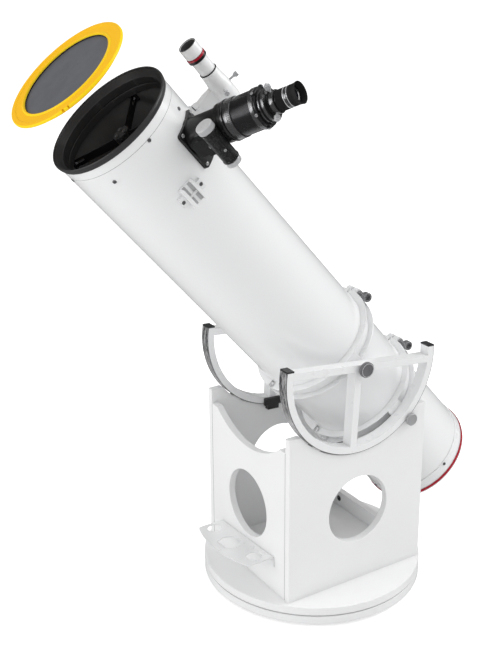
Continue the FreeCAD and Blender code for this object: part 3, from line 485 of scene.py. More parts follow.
# ------------------------------------------------------------------ special materials
def make_tube_enamel():
    """White gloss enamel with a faint ripple."""
    k = Shader("tube_enamel")
    mottle = k.noise(5.0, detail=4.0, rough=0.5)
    k.feed("Base Color", k.mix(k.ramp(mottle, span=(0.35, 0.65)),
                               (0.862, 0.867, 0.872), (0.868, 0.873, 0.878)))
    gloss = k.noise(14.0, detail=5.0, rough=0.6)
    k.feed("Roughness", k.ramp(gloss, span=(0.3, 0.7), to=(0.29, 0.33)))
    k.set(Coat_Weight=0.7, Coat_Roughness=0.16, Specular_IOR_Level=0.5)
    ripple = k.bump(k.noise(330.0, detail=2.0, rough=0.4), strength=0.035, distance=0.0003)
    grain = k.noise(1800.0, detail=2.0, rough=0.5)
    k.feed("Normal", k.bump(grain, strength=0.03, distance=0.0001, normal=ripple))
    return k.material


def make_running_strip():
    """Stainless strip with fine scratches, darker in patches high on the arcs, towards the tips.
    """
    k = Shader("running_strip")
    scratches = k.noise(60.0, detail=8.0, rough=0.7, stretch=(40.0, 1.5, 1.5))
    base = k.mix(k.ramp(scratches, span=(0.35, 0.65)), (0.58, 0.58, 0.59), (0.80, 0.80, 0.81))
    split = k.node("ShaderNodeSeparateXYZ")
    k.link(k.coords, split.inputs[0])
    high = k.ramp(split.outputs["Z"], span=(0.435, 0.505))
    patches = k.noise(85.0, detail=6.0, rough=0.75, stretch=(1.6, 1.0, 0.55))
    patches = k.ramp(patches, span=(0.40, 0.60))
    k.feed("Base Color", k.mix(k.multiply(high, patches), base, (0.07, 0.07, 0.075)))
    gloss = k.noise(18.0, detail=5.0, rough=0.6)
    k.feed("Roughness", k.ramp(gloss, span=(0.3, 0.7), to=(0.12, 0.30)))
    k.set(Metallic=0.62, Anisotropic=0.6)
    k.feed("Normal", k.bump(scratches, strength=0.10, distance=0.0001))
    return k.material


def make_solar_film():
    """Silvery film, slightly slack and wrinkled."""
    k = Shader("solar_film")
    slack = k.noise(22.0, detail=3.0, rough=0.5, stretch=(1.0, 1.0, 0.4))
    k.feed("Base Color", k.mix(k.ramp(slack, span=(0.3, 0.7)),
                               (0.205, 0.21, 0.232), (0.24, 0.245, 0.268)))
    gloss = k.noise(60.0, detail=4.0, rough=0.6)
    k.feed("Roughness", k.ramp(gloss, span=(0.3, 0.7), to=(0.30, 0.42)))
    k.set(Metallic=0.55, Coat_Weight=0.3, Coat_Roughness=0.15)
    k.feed("Normal", k.bump(slack, strength=0.10, distance=0.001))
    return k.material


def make_coated_glass():
    """Glass whose tint shifts with the viewing angle."""
    k = Shader("coated_glass")
    k.set(Transmission_Weight=0.85, IOR=1.52, Coat_Weight=0.6, Coat_Roughness=0.02)
    angle = k.node("ShaderNodeLayerWeight")
    angle.inputs["Blend"].default_value = 0.4
    k.feed("Base Color", k.mix(angle.outputs["Facing"], (0.10, 0.12, 0.16), (0.20, 0.16, 0.30)))
    gloss = k.noise(25.0, detail=4.0, rough=0.5)
    k.feed("Roughness", k.ramp(gloss, span=(0.3, 0.7), to=(0.01, 0.05)))
    return k.material


tube_enamel = make_tube_enamel()
matte_inside = finish(
    "matte_black_inside", (0.120, 0.120, 0.122), rough=0.55, dark=(0.098, 0.098, 0.100),
    bumps=((3000.0, 0.5, 0.0002), (700.0, 0.2, 0.0002)), rough_vary=0.2, spec=0.3)
strip_steel = make_running_strip()
solar_film = make_solar_film()
coated_glass = make_coated_glass()

# ------------------------------------------------------------------ materials of the CAD pieces
CAD_GROUPS = (
    (white_board, "ground_board turntable_board side_panel_left side_panel_right front_panel "
                  "rear_stretcher"),
    (white_cast, "eyepiece_tray bearing_frame_left bearing_frame_right rear_ring "
                 "ring_upper_left ring_upper_right ring_lower_left ring_lower_right "
                 "finder_shoe finder_bracket accessory_shoe"),
    (black_cast, "front_ring mirror_cell spider focuser_body"),
    (black_plastic, "pivot_bushing cam_locks end_caps guide_blocks collimation_knobs "
                    "mirror_clips secondary_holder finder_eyepiece"),
    (black_anodised, "drawtube eyepiece_adapter eyepiece"),
    (rubber, "feet eyecup"),
    (glide_plastic, "azimuth_pads altitude_pads"),
    (steel, "pivot_bolt pivot_nut box_screws collimation_springs tube_screws"),
    (chrome, "ring_hinge_pins"),
    (clear_anodised, "ring_clamp_knob_upper ring_clamp_knob_lower adapter_thumb_screws "
                     "focus_knobs finder_thumb_screws"),
    (grey_anodised, "tension_knob centre_knob_left centre_knob_right"),
    (strip_steel, "bearing_strips"),
    (tube_enamel, "main_tube finder_tube"),
    (red_enamel, "red_ring finder_trim_ring"),
    (mirror_coating, "primary_mirror secondary_mirror"),
    (coated_glass, "finder_objective"),
    (yellow, "filter_frame"),
    (solar_film, "filter_film"),
)
cad_materials = {name: material for material, names in CAD_GROUPS for name in names.split()}
for name, ob in NODES.items():
    ob.data.materials.clear()
    ob.data.materials.append(cad_materials[name])

# ------------------------------------------------------------------ optical tube
# Outside with a shallow groove for the seam, then the front edge and the inside.
OUTER_BANDS = 5               # faces between the first points are the white outside
GROOVE_RADIUS = TUBE_RADIUS - 0.35
shell = [
    (TUBE_RADIUS, TUBE_REAR), (TUBE_RADIUS, 663.8), (GROOVE_RADIUS, 664.0),
    (GROOVE_RADIUS, 664.6), (TUBE_RADIUS, 664.8), (TUBE_RADIUS, TUBE_FRONT),
    (TUBE_INSIDE, TUBE_FRONT), (TUBE_INSIDE, 640.0), (TUBE_INSIDE, 300.0), (TUBE_INSIDE, 0.0),
    (TUBE_INSIDE, TUBE_REAR)]
SHELL_SEGMENTS = 256
shell_vertices, shell_faces, _ = lathe(shell, SHELL_SEGMENTS)
shell_materials = []
for i in range(len(shell)):
    shell_materials += [0 if i < OUTER_BANDS else 1] * SHELL_SEGMENTS
piece("tube_shell", [(shell_vertices, shell_faces, shell_materials)], "tube",
      [tube_enamel, matte_inside], TUBE, "main_tube", sharp=50)

# Rolled lip in front of the tube and a stepped sleeve inside it.
front_lip = [
    (118.7, 650), (118.7, 681.05), (120.7, 681.05), (121.6, 682.4), (122.7, 686.0),
    (123.4, 689.6), (123.3, 691.4), (122.6, 692.8), (121.6, 693.3), (120.5, 692.9),
    (119.8, 691.6), (119.4, 689.8), (118.0, 689.2), (117.2, 688.0), (112.0, 680.0),
    (110.4, 679.0), (110.4, 665.0), (111.2, 664.2), (111.2, 663.2), (110.4, 662.4),
    (110.4, 650)]
piece("front_ring_lip", [turned(front_lip, 0.5, 256)], "tube", black_ring,
      TUBE, "front_ring")

# ------------------------------------------------------------------ screws in the tube wall
SCREW_RADIUS = 3.6


def wall_screw(angle, along, seat, height, stem, material=0):
    """Pan head with a sunk round recess, its seat at a radius from the tube's axis."""
    r = SCREW_RADIUS
    outline = [
        (0, -stem), (r * 0.55, -stem), (r * 0.55, 0), (r, 0), (r, height * 0.55),
        (r * 0.8, height * 0.92), (r * 0.42, height), (r * 0.40, height * 0.62),
        (0, height * 0.55)]
    return turned(outline, 0.25, 40, on_tube(angle, along, seat), material=material)


# Dark on the white tube, bright on the focuser plate and the finder shoe.
fasteners = []
for angle in QUARTERS:
    fasteners += [wall_screw(angle, 661.6, seat=119.6, height=2.2, stem=4.5),
                  wall_screw(angle, -405.0, seat=121.9, height=2.3, stem=6.0)]
for angle in DIAGONALS:
    fasteners += [wall_screw(angle, SPIDER_ALONG, seat=119.8, height=2.3, stem=7.0)]
for y in (28.0, -31.0):
    for x in (-45.0, 26.0):
        angle = FOCUSER_ANGLE - math.degrees(math.asin(y / 123.0))
        fasteners += [wall_screw(angle, FOCUSER_ALONG + x, seat=125.5, height=2.6, stem=8.0,
                                 material=1)]
for along in (551.0, 585.0):
    fasteners += [wall_screw(FINDER_ANGLE, along, seat=124.0, height=2.0, stem=7.0,
                             material=1)]
for angle in (SHOE_ANGLE - 10.3, SHOE_ANGLE + 10.3):
    fasteners += [wall_screw(angle, 534.0, seat=123.9, height=2.4, stem=7.0)]
# Three socket heads round the tube's axis, ahead of the spider.
for angle in (30, 150, 270):
    fasteners += [cap(3.0, 3.0, TUBE @ Matrix.Translation((*polar(9.5, angle), 654.0)))]
piece("tube_fasteners", fasteners, "tube", [dark_zinc, steel],
      replaces="tube_screws")

# ------------------------------------------------------------------ focuser housing
housing_lip = [(34.0, 200.6), (36.8, 200.6), (37.4, 201.4), (37.4, 205.6), (36.6, 206.9),
               (34.0, 206.9)]
piece("focuser_lip", [turned(housing_lip, 0.5, 256)], "tube", black_gloss,
      FOCUSER)


def on_pinion(x, angle, radius=14.9):
    """Frame standing on the pinion housing, z outwards."""
    c, s = math.cos(rad(angle)), math.sin(rad(angle))
    return PINION @ Matrix(((1, 0, 0, x), (0, s, c, radius * c), (0, -c, s, radius * s),
                            (0, 0, 0, 1)))


# A rib along the pinion housing and a collar at each end of it.
collar_low = [(12.0, -43.9), (15.5, -43.9), (15.7, -43.2), (15.7, -40.4), (15.3, -39.9),
              (12.0, -39.9)]
collar_high = [(12.0, 21.6), (15.5, 21.6), (15.7, 22.2), (15.7, 25.2), (15.3, 25.7),
               (12.0, 25.7)]
piece("pinion_housing_rib", [
    box((-43.4, -1.0, 0.0), (25.2, 1.0, 1.5), 0.5, on_pinion(0.0, 60.0, 14.4)),
    turned(collar_low, 0.3, 160, PINION @ Z_TO_X),
    turned(collar_high, 0.3, 160, PINION @ Z_TO_X)],
    "tube", black_gloss)
piece("pinion_housing_screws", [
    cap(2.6, 1.6, on_pinion(-0.9, -53.0)),
    cap(2.6, 1.6, on_pinion(-16.3, 40.0)),
    # The last head is near-black all over, painting the shade of a hole in the housing (painted
    # shade).
    cap(2.0, 0.6, on_pinion(-35.4, 3.0), material=1, depth=0.9)],
    "tube", [steel, hole_shade_black])

# ------------------------------------------------------------------ drawtube
# Material 0 is the black body, 1 the screws and 2 the bright rings.
drawtube_body = [
    (26.0, 126.0), (28.2, 126.0), (28.2, 207.7), (34.6, 207.7), (34.6, 223.0), (34.8, 223.4),
    (34.8, 259.6), (35.2, 260.2), (35.2, 269.4), (35.0, 269.8), (35.0, 272.4), (34.0, 273.5),
    (26.0, 273.5)]
knurled_band = [
    (34.0, 207.9), (36.2, 207.9), (36.7, 208.5), (36.7, 214.8), (36.5, 215.2), (36.5, 221.8),
    (36.0, 222.6), (34.0, 222.6)]
flange = [(34.0, 260.4), (35.9, 260.4), (36.4, 261.0), (36.4, 268.2), (35.9, 268.8),
          (34.0, 268.8)]
drawtube = [
    turned(drawtube_body, 0.35, 256),
    turned(knurled_band, 0.3, 480, knurl=(80, 0.5, 215.6, 221.6, 36.0), material=2),
    turned(flange, 0.3, 256, material=2),
    box((-6.0, 27.0, 134.0), (6.0, 35.4, 206.0), 0.3, segments=1)]

RACK_TEETH, RACK_START, RACK_PITCH, TOOTH_WIDTH = 27, 135.0, 2.62, 1.3
for i in range(RACK_TEETH):
    tooth = RACK_START + i * RACK_PITCH
    drawtube += [box((-6.0, 35.2, tooth), (6.0, 36.0, tooth + TOOTH_WIDTH))]

# Six bosses round the head, each with a socket screw.
boss = [(0, 0), (4.4, 0), (4.4, 3.8), (3.9, 4.6), (0, 4.6)]
boss_screws = []
for i in range(6):
    place = (Matrix.Rotation(rad(69.0 + 60.0 * i), 4, "Z")
             @ Matrix.Translation((33.0, 0, 270.6)) @ Z_TO_X)
    drawtube += [turned(boss, 0.4, 40, place)]
    boss_screws += [cap(2.8, 1.6, place @ Matrix.Translation((0, 0, 4.4)), material=1)]
piece("drawtube_turned", drawtube + boss_screws, "drawtube",
      [black_satin, steel, turned_ring], FOCUSER, "drawtube")

# ------------------------------------------------------------------ eyepiece adapter
adapter_body = [
    (25.4, 248.0), (25.4, 273.6), (30.0, 273.6), (30.4, 274.2), (30.4, 278.2), (29.8, 278.8),
    (28.2, 279.2), (28.2, 280.8), (28.8, 281.2), (28.8, 286.2), (27.6, 287.4), (21.2, 288.2),
    (20.6, 289.0), (20.6, 299.8), (20.0, 300.6), (15.95, 300.7), (15.95, 248.0)]
piece("adapter_turned", [
    turned(adapter_body, 0.3, 360),
    turned(band(29.4, 30.6, 273.9, 278.2), 0.25, 360, material=1),
    turned(band(27.8, 29.2, 281.4, 286.2), 0.25, 360, knurl=(90, 0.35, 281.9, 285.8, 29.0),
           material=1),
    turned(band(19.8, 20.9, 290.2, 299.4), 0.25, 200, material=1)],
    "drawtube", [black_satin, turned_ring], FOCUSER, "eyepiece_adapter")

adapter_screw = [
    (0, 16.4), (2.0, 16.4), (2.0, 24.0), (3.2, 24.2), (3.2, 26.6), (5.3, 27.0), (5.6, 27.8),
    (5.6, 33.6), (5.0, 34.4), (2.6, 34.6), (2.4, 36.6), (1.8, 37.2), (0, 37.2)]
thumb_screws = []
for angle in (-20.0, 100.0):
    place = (FOCUSER @ Matrix.Translation((0, 0, 295.0))
             @ Matrix.Rotation(rad(90.0 - angle), 4, "Z") @ Z_TO_X)
    thumb_screws += [turned(adapter_screw, 0.2, 192, place, knurl=(32, 0.5, 27.9, 33.4, 5.1))]
piece("adapter_thumb_screws_knurled", thumb_screws, "drawtube", clear_anodised,
      replaces="adapter_thumb_screws")

# ------------------------------------------------------------------ eyepiece
GRIP_DIAMONDS = 48
GRIP_TWIST = 0.42             # pattern cells per mm of height
GROOVE_DEPTH, GROOVE_WIDTH = 0.5, 0.30


def diamond(angle, r, z):
    """Diamond-pattern grooves in the grip."""
    u = (angle * GRIP_DIAMONDS / (2 * math.pi) + z * GRIP_TWIST) % 1.0
    w = (angle * GRIP_DIAMONDS / (2 * math.pi) - z * GRIP_TWIST) % 1.0
    nearest = np.minimum(np.abs(u - 0.5), np.abs(w - 0.5)) * 2.0
    return np.where((z > 302.9) & (z < 315.1) & (r > 18.3),
                    r - GROOVE_DEPTH * (nearest < GROOVE_WIDTH), r)


# Material 0 is the body, 1 the grip, 2 the silver rings, 3 the lens and 4 the dark ring.
eyepiece_body = [
    (13.4, 262.0), (15.9, 262.0), (15.9, 276.0), (15.5, 276.8), (15.5, 279.6), (15.9, 280.4),
    (15.9, 300.8), (18.0, 300.8), (18.0, 302.2), (17.3, 302.6), (17.3, 315.6), (18.1, 316.0),
    (18.1, 326.2), (17.0, 327.0), (17.0, 331.0), (14.0, 333.0), (9.0, 332.0), (9.0, 328.0),
    (13.4, 327.0)]
grip = [(17.2, 302.3), (18.3, 302.4), (18.5, 302.8)]
grip += [(18.55, float(z)) for z in np.linspace(303.0, 315.0, 26)]
grip += [(18.5, 315.2), (18.3, 315.6), (17.2, 315.7)]
eye_lens = [(0.0, 330.2), (9.2, 330.2), (9.2, 329.2), (6.0, 329.6), (0.0, 329.8)]
piece("eyepiece_turned", [
    turned(eyepiece_body, 0.3, 256),
    lathe(grip, 384, shape=diamond, material=1),
    turned(band(17.6, 18.5, 317.2, 318.8), 0.2, 200, material=2),
    turned(band(17.6, 18.25, 319.6, 323.6), 0.2, 200, material=4),
    turned(band(17.6, 18.5, 324.4, 325.6), 0.2, 200, material=2),
    lathe(eye_lens, 96, material=3)],
    "eyepiece", [black_gloss, rubber, clear_anodised, dark_lens, turned_ring],
    FOCUSER, "eyepiece")

# Rubber cup: three ribs below a flared lip.
eyecup = [(17.05, 327.0), (18.2, 327.0)]
for i in range(3):
    z = 328.0 + i * 2.2
    eyecup += [(18.5, z), (18.5, z + 1.1), (17.9, z + 1.4), (17.9, z + 1.9)]
eyecup += [
    (18.5, 334.6), (18.6, 336.2), (18.9, 338.2), (19.4, 340.4), (19.9, 342.2), (19.7, 343.0),
    (18.8, 342.6), (18.0, 340.0), (17.2, 336.4), (16.1, 333.4), (16.1, 332.4), (17.05, 332.0)]
piece("eyecup_ribbed", [lathe(soften(eyecup, 0.25, steps=2), 160)], "eyepiece",
      rubber, FOCUSER, "eyecup")


# ------------------------------------------------------------------ focus knobs
def knob_outline(r, t):
    """Knob from its seat at 0 to its face at t, with a chamfer and a shallow dish."""
    return [(0, 0), (r - 1.6, 0), (r - 0.3, 0.6), (r, 1.4), (r, t - 1.6), (r - 0.9, t - 0.3),
            (r - 1.9, t), (r - 2.6, t), (r - 3.0, t - 0.5), (r * 0.30, t - 0.7),
            (r * 0.24, t - 1.3), (0, t - 1.3)]


# The wider knob is on the +x end of the shaft; the shaft is thicker across the drawtube.
pinion_shaft = [(0, -27.0), (3.4, -27.0), (3.4, -8.0), (4.9, -8.0), (4.9, 8.0), (3.4, 8.0),
                (3.4, 45.5), (0, 45.5)]
piece("focus_knobs_turned", [
    turned(knob_outline(16.2, 12.1), 0.25, 576,
           PINION @ Z_TO_X @ Matrix.Translation((0, 0, 26.5)),
           knurl=(96, 0.45, 1.5, 10.4, 15.6)),
    turned(knob_outline(14.6, 10.6), 0.25, 480,
           PINION @ Z_TO_MINUS_X @ Matrix.Translation((0, 0, 44.5)),
           knurl=(80, 0.45, 1.5, 8.9, 14.0)),
    turned(pinion_shaft, 0.1, 64, PINION @ Z_TO_MINUS_X, material=1)],
    "focus_knobs", [silver_anodised, steel], replaces="focus_knobs")

# ------------------------------------------------------------------ finder
# A red ring in front of a knurled black one.
red_trim = [(15.65, 664.0), (18.2, 664.0), (18.3, 664.4), (18.3, 667.2), (17.6, 668.0),
            (15.65, 668.0)]
black_trim = [(15.65, 658.2), (17.6, 658.2), (18.4, 659.0), (18.4, 663.4), (18.1, 664.0),
              (15.65, 664.0)]
piece("finder_band", [
    turned(red_trim, 0.3, 128),
    turned(black_trim, 0.3, 160, knurl=(60, 0.3, 659.6, 663.0, 18.1), material=1)],
    "tube", [red_enamel, black_anodised], FINDER, "finder_trim_ring")

O_RING_RADIUS, O_RING_ALONG, O_RING_WIRE, O_RING_SIDES = 16.3, 628.2, 1.15, 14
o_ring = []
for i in range(O_RING_SIDES):
    turn = 2 * math.pi * i / O_RING_SIDES
    o_ring += [(O_RING_RADIUS + O_RING_WIRE * math.cos(turn),
                O_RING_ALONG + O_RING_WIRE * math.sin(turn))]
piece("finder_o_ring", [lathe(o_ring, 96)], "tube", rubber, FINDER)

baffle = [
    (14.85, 672.6), (14.85, 689.6), (15.3, 690.9), (16.2, 691.4), (16.9, 691.2), (17.1, 690.6),
    (16.2, 690.4), (14.95, 689.4), (14.95, 672.6)]
piece("finder_baffle", [turned(baffle, 0.1, 128), lathe(band(0.0, 14.8, 671.2, 671.8), 96)],
      "tube", matte_inside, FINDER)

finder_eyepiece = [
    (7.6, 531.5), (8.6, 528.8), (11.8, 528.4), (13.6, 529.4), (15.0, 534.0), (15.5, 536.4),
    (15.0, 536.9), (15.0, 537.6), (15.6, 538.0), (15.6, 539.2), (15.1, 539.6), (15.1, 540.2),
    (15.7, 540.6), (15.7, 544.0), (15.4, 544.9), (13.55, 544.95), (13.55, 556.0), (7.6, 556.0)]
finder_lens = [(0.0, 533.0), (7.8, 533.0), (7.8, 534.0), (3.0, 534.6), (0.0, 534.8)]
piece("finder_eyepiece_turned", [turned(finder_eyepiece, 0.25, 160),
                                 lathe(finder_lens, 64, material=1)],
      "tube", [black_plastic, dark_lens], FINDER, "finder_eyepiece")


def beside_finder(along, angle, radius):
    """Frame at a radius from the finder's axis, z outwards."""
    direction = Vector((0, math.cos(rad(angle)), math.sin(rad(angle))))
    origin = Vector((along, 0, FINDER_OUT)) + direction * radius
    return FINDER_SIDE @ axis_frame(origin, direction)


finder_screw = [
    (0, 0), (2.0, 0), (2.0, 13.0), (3.0, 13.2), (3.0, 15.1), (4.5, 15.3), (4.7, 16.0),
    (4.7, 21.5), (4.2, 22.2), (0, 22.2)]
piece("finder_thumb_screws_knurled", [
    turned(finder_screw, 0.2, 144, beside_finder(588.0, angle, 15.75),
           knurl=(24, 0.4, 16.1, 21.4, 4.3)) for angle in (86.0, -4.0)],
    "tube", clear_anodised, replaces="finder_thumb_screws")

spring_cap = [(0, -2.0), (3.4, -2.0), (3.4, 0.0), (4.2, 0.2), (4.2, 1.6), (3.6, 2.2),
              (1.3, 2.2), (1.2, 1.4), (0, 1.4)]
piece("finder_spring_cap", [turned(spring_cap, 0.2, 64, beside_finder(587.0, 221.0, 28.8))],
      "tube", clear_anodised)

clamp_screw = [(0, -3.0), (1.6, -3.0), (1.6, 2.0), (2.8, 2.2), (2.8, 8.0), (2.3, 8.6),
               (0, 8.6)]
clamp_place = FINDER_SIDE @ axis_frame(Vector((584.0, -10.6, 130.6)), Vector((0, -1, 0.12)))
piece("finder_clamp_screw", [turned(clamp_screw, 0.2, 96, clamp_place,
                                    knurl=(22, 0.3, 2.6, 7.8, 2.5))],
      "tube", clear_anodised)

# ------------------------------------------------------------------ small details
# Upright joint lines on the front panel: grey strips for the joints that also paint the shade of
# their grooves (painted shade).
JOINT_X, JOINT_HALF = 141.8, 0.35
piece("panel_joint_lines", [
    box((x - JOINT_HALF, -168.35, 47.5), (x + JOINT_HALF, -167.6, 382.5))
    for x in (-JOINT_X, JOINT_X)], "rocker", seam_grey_and_shade)

red_band = [
    (121.05, -424.0), (123.95, -424.0), (123.95, -423.4), (124.35, -423.2), (124.5, -424.0),
    (124.5, -429.4), (124.35, -430.2), (123.95, -430.0), (123.95, -429.2), (121.05, -429.2)]
piece("red_band", [turned(red_band, 0.3, 256)], "tube", red_enamel, TUBE, "red_ring")

# Accessory shoe: low corner, high corner, bevel, material (0 grey floor, 1 white).
SHOE_BOXES = (
    ((512.6, -9.45, 123.0), (555.4, -3.0, 124.35), 0.0, 0),
    ((512.6, 3.0, 123.0), (555.4, 9.45, 124.35), 0.0, 0),
    ((512.2, -3.0, 123.0), (555.8, 3.0, 125.4), 0.5, 1),
    ((530.0, -9.4, 123.0), (535.0, 9.4, 126.2), 0.5, 1),
    ((512.0, -15.2, 134.6), (556.0, -9.0, 135.6), 0.4, 1),
    ((512.0, 9.0, 134.6), (556.0, 15.2, 135.6), 0.4, 1),
)
shoe_place = radial(SHOE_ANGLE, 0.0)
piece("accessory_shoe_channel", [
    box(low, high, bevel, shoe_place, material) for low, high, bevel, material in SHOE_BOXES],
    "tube", [shoe_floor, white_cast])

# Grey band in the seam groove: the seam's own line and painted shade in the crease.
piece("tube_seam", [lathe(band(119.66, 119.88, 663.95, 664.65), 256)], "tube",
      seam_grey_and_shade, TUBE)

# Hexagonal nuts inside the tube, under the screws of the spider.
spider_nut = [(0, 0), (2.6, 0), (2.6, 2.4), (1.4, 2.6), (1.2, 1.6), (0, 1.6)]
piece("spider_nuts", [
    turned(spider_nut, 0.2, 6, on_tube(angle, SPIDER_ALONG, 115.2) @ FLIP)
    for angle in DIAGONALS], "tube", silver_anodised)

# ------------------------------------------------------------------ running strips
STRIP_RADIUS = 184.9
STRIP_RISE = 18.4             # the arc's ends stand this far above the pivot
STRIP_STEPS = 160
END_GAP = 0.1                 # degrees left free at each end
RISE_ANGLE = -math.degrees(math.asin(STRIP_RISE / STRIP_RADIUS))


def arc(profile, mirror):
    """(x, radius) profile swept under the pivot; angle 0 points along -y, 90 straight down."""
    count = len(profile)
    start = RISE_ANGLE + END_GAP
    end = 180 - RISE_ANGLE - END_GAP
    vertices, faces = [], []
    for k in range(STRIP_STEPS + 1):
        angle = rad(start + (end - start) * k / STRIP_STEPS)
        for x, r in profile:
            vertices.append((-x if mirror else x, -r * math.cos(angle), -r * math.sin(angle)))
    for k in range(STRIP_STEPS):
        for i in range(count):
            j = (i + 1) % count
            faces.append((k * count + i, k * count + j, (k + 1) * count + j,
                          (k + 1) * count + i))
    last = STRIP_STEPS * count
    faces += [tuple(range(count)), tuple(last + i for i in reversed(range(count)))]
    return moved(np.array(vertices), BEARINGS), faces, [0] * len(faces)


strip = [(136.6, 184.12), (160.4, 184.12), (160.4, 184.7), (160.2, STRIP_RADIUS),
         (136.8, STRIP_RADIUS), (136.6, 184.7)]
outer_line = [(160.42, 183.7), (161.08, 183.7), (161.08, 184.5), (160.42, 184.8)]
inner_line = [(135.92, 183.7), (136.58, 183.7), (136.58, 184.8), (135.92, 184.5)]
piece("running_strips", [arc(strip, mirror) for mirror in (False, True)], "tube",
      strip_steel, replaces="bearing_strips")
piece("strip_joint_lines", [
    arc(line, mirror) for mirror in (False, True) for line in (outer_line, inner_line)],
    "tube", joint_line)

# ------------------------------------------------------------------ ring clamps and frame knobs
clamp_knob = soften([(0, -16.0), (4.0, -16.0), (4.0, 34.0), (9.4, 34.0), (10.4, 34.9),
                     (10.4, 45.8), (9.6, 47.0), (7.6, 47.0)], 0.3)
clamp_knob += [(6.1, 46.4, "hex"), (6.0, 40.5, "hex"), (0, 40.5)]
clamp_nut = [(0, -17.2), (7.0, -17.2, 0), (7.0, -16.4), (0, -16.4)]
for along, name in zip(RINGS_ALONG, ("ring_clamp_knob_upper", "ring_clamp_knob_lower")):
    place = TUBE @ Matrix.Translation((0, 137.5, along)) @ Z_TO_X
    piece(name + "_knurled", [
        lathe(clamp_knob, 360, place, knurl=(60, 0.55, 35.2, 45.4, 9.9)),
        turned(band(4.2, 8.2, 17.1, 18.6), 0.2, 64, place, material=1),
        turned(clamp_nut, 0.1, 6, place, material=1)],
        name, [dark_nickel, steel], replaces=name)

centre_knob = [
    (0, 124.0), (4.0, 124.0), (4.0, 161.1), (9.0, 161.1), (9.0, 167.5), (14.4, 167.5),
    (15.4, 168.0), (16.0, 169.0), (16.0, 174.4), (15.3, 175.4), (14.2, 176.0), (13.2, 176.0),
    (12.8, 175.5), (5.0, 175.5), (4.6, 175.0), (0, 175.0)]
for turn, name in ((Z_TO_X, "centre_knob_right"), (Z_TO_MINUS_X, "centre_knob_left")):
    place = TUBE @ turn
    piece(name + "_knurled", [
        turned(centre_knob, 0.2, 480, place, knurl=(72, 0.5, 169.2, 174.2, 15.4)),
        turned(band(13.0, 14.3, 175.2, 176.25), 0.15, 128, place, material=1)],
        name, [grey_anodised, clear_anodised], replaces=name)

# The tension knob stands behind and below the pivot, facing +X.
TENSION_REACH, TENSION_ANGLE = 191.2, 41.8   # from the pivot; angle from straight down
tension_place = Matrix.Translation((
    0, PIVOT[1] + TENSION_REACH * math.sin(rad(TENSION_ANGLE)),
    PIVOT[2] - TENSION_REACH * math.cos(rad(TENSION_ANGLE)))) @ Z_TO_X
tension_knob = [
    (0, 143.0), (3.0, 143.0), (3.0, 156.9), (5.0, 156.9), (5.0, 163.2), (12.0, 163.2),
    (13.0, 164.2), (13.0, 168.6), (12.2, 169.6), (11.2, 170.0), (10.4, 170.0), (10.0, 169.5),
    (0, 169.5)]
piece("tension_knob_knurled", [turned(tension_knob, 0.2, 360, tension_place,
                                      knurl=(60, 0.45, 164.3, 168.4, 12.5))],
      "tension_knob", grey_zinc, replaces="tension_knob")

# Hinge pins: radius, distance along the tube from the middle of the ring.
HINGE_PIN = (
    (0, -19.0), (2.6, -19.0), (3.2, -18.4), (3.2, -16.6), (5.2, -16.4), (5.6, -15.9),
    (5.6, -15.3), (3.0, -15.1), (3.0, 15.1), (5.6, 15.2), (5.6, 16.6), (4.6, 18.0),
    (2.6, 18.6), (0, 18.6))
hinge_place = TUBE @ Matrix.Translation((0, -128.6, 0))
piece("hinge_pins_turned", [
    turned([(r, along + z) for r, z in HINGE_PIN], 0.2, 64, hinge_place)
    for along in RINGS_ALONG], "tube", chrome, replaces="ring_hinge_pins")

# ------------------------------------------------------------------ collimation knobs
# Knobs on rods behind the mirror cell, each with a socket head in its rear face.
collimation_knob = [
    (0, 386.2), (3.0, 386.2), (3.0, 420.2), (8.2, 420.2), (9.0, 421.0), (9.0, 429.2),
    (8.2, 430.2), (5.6, 430.2), (5.2, 429.6), (0, 429.6)]
collimation = []
for angle in (90, 210, 330):
    place = TUBE @ Matrix.Translation((*polar(96.0, angle), 0)) @ FLIP
    collimation += [
        turned(collimation_knob, 0.2, 216, place, knurl=(36, 0.6, 421.2, 429.0, 8.6)),
        cap(3.4, 1.2, place @ Matrix.Translation((0, 0, 429.4)), material=1)]
piece("collimation_knobs_knurled", collimation, "tube",
      [black_plastic, steel], replaces="collimation_knobs")

# ------------------------------------------------------------------ solar filter
NOTCH_ANGLES = (326.0, 331.2)
NOTCH_HALF = 0.62             # degrees
NOTCH_FLOOR = 116.8


def notches(angle, r, z):
    """Two small slots in the rim."""
    out = r.copy()
    for notch in NOTCH_ANGLES:
        away = np.abs((angle - rad(notch) + math.pi) % (2 * math.pi) - math.pi)
        cut = (away < rad(NOTCH_HALF)) & (r > 113.0) & (z < FILTER_FRONT - 0.3)
        out = np.where(cut, np.minimum(out, NOTCH_FLOOR), out)
    return out


# Rim: radius, depth behind the front face, rounding.
RIM = (
    (121.0, 5.3, 0.4), (121.0, 1.8, 1.2), (119.8, 0.5, 0.8), (112.0, 0.4, 0.8),
    (110.5, 1.6, 0.7), (97.0, 1.8, 0.8), (95.4, 0, 0.8), (93.4, 0, 0.6), (92.2, 1.0, 0.6),
    (91.7, 3.0, 0.4), (91.7, 8.6, 0.4), (98.0, 8.6, 0.3), (98.0, 5.3, 0.2), (105.5, 5.3, 0.2),
    (105.5, 11.0, 0.5), (110.2, 11.0, 0.5), (110.2, 5.3, 0.2))
rim_outline = [(r, FILTER_FRONT - depth, rounding) for r, depth, rounding in RIM]
rim_vertices, rim_faces, _ = lathe(soften(rim_outline, 0.5), 720, shape=notches)
# The outer edge, the raised bead round the film and the inner lip get a lighter copy of
# the yellow: a painted highlight where the light catches them.
vertex_radius = np.hypot(rim_vertices[:, 0], rim_vertices[:, 1])
rim_materials = []
for face in rim_faces:
    r = vertex_radius[list(face)].mean()
    rim_materials.append(1 if (r > 119.4 or 94.6 < r < 97.2 or r < 92.6) else 0)
piece("filter_rim", [(rim_vertices, rim_faces, rim_materials)], "filter",
      [yellow, yellow_highlight_copy], TUBE, "filter_frame")
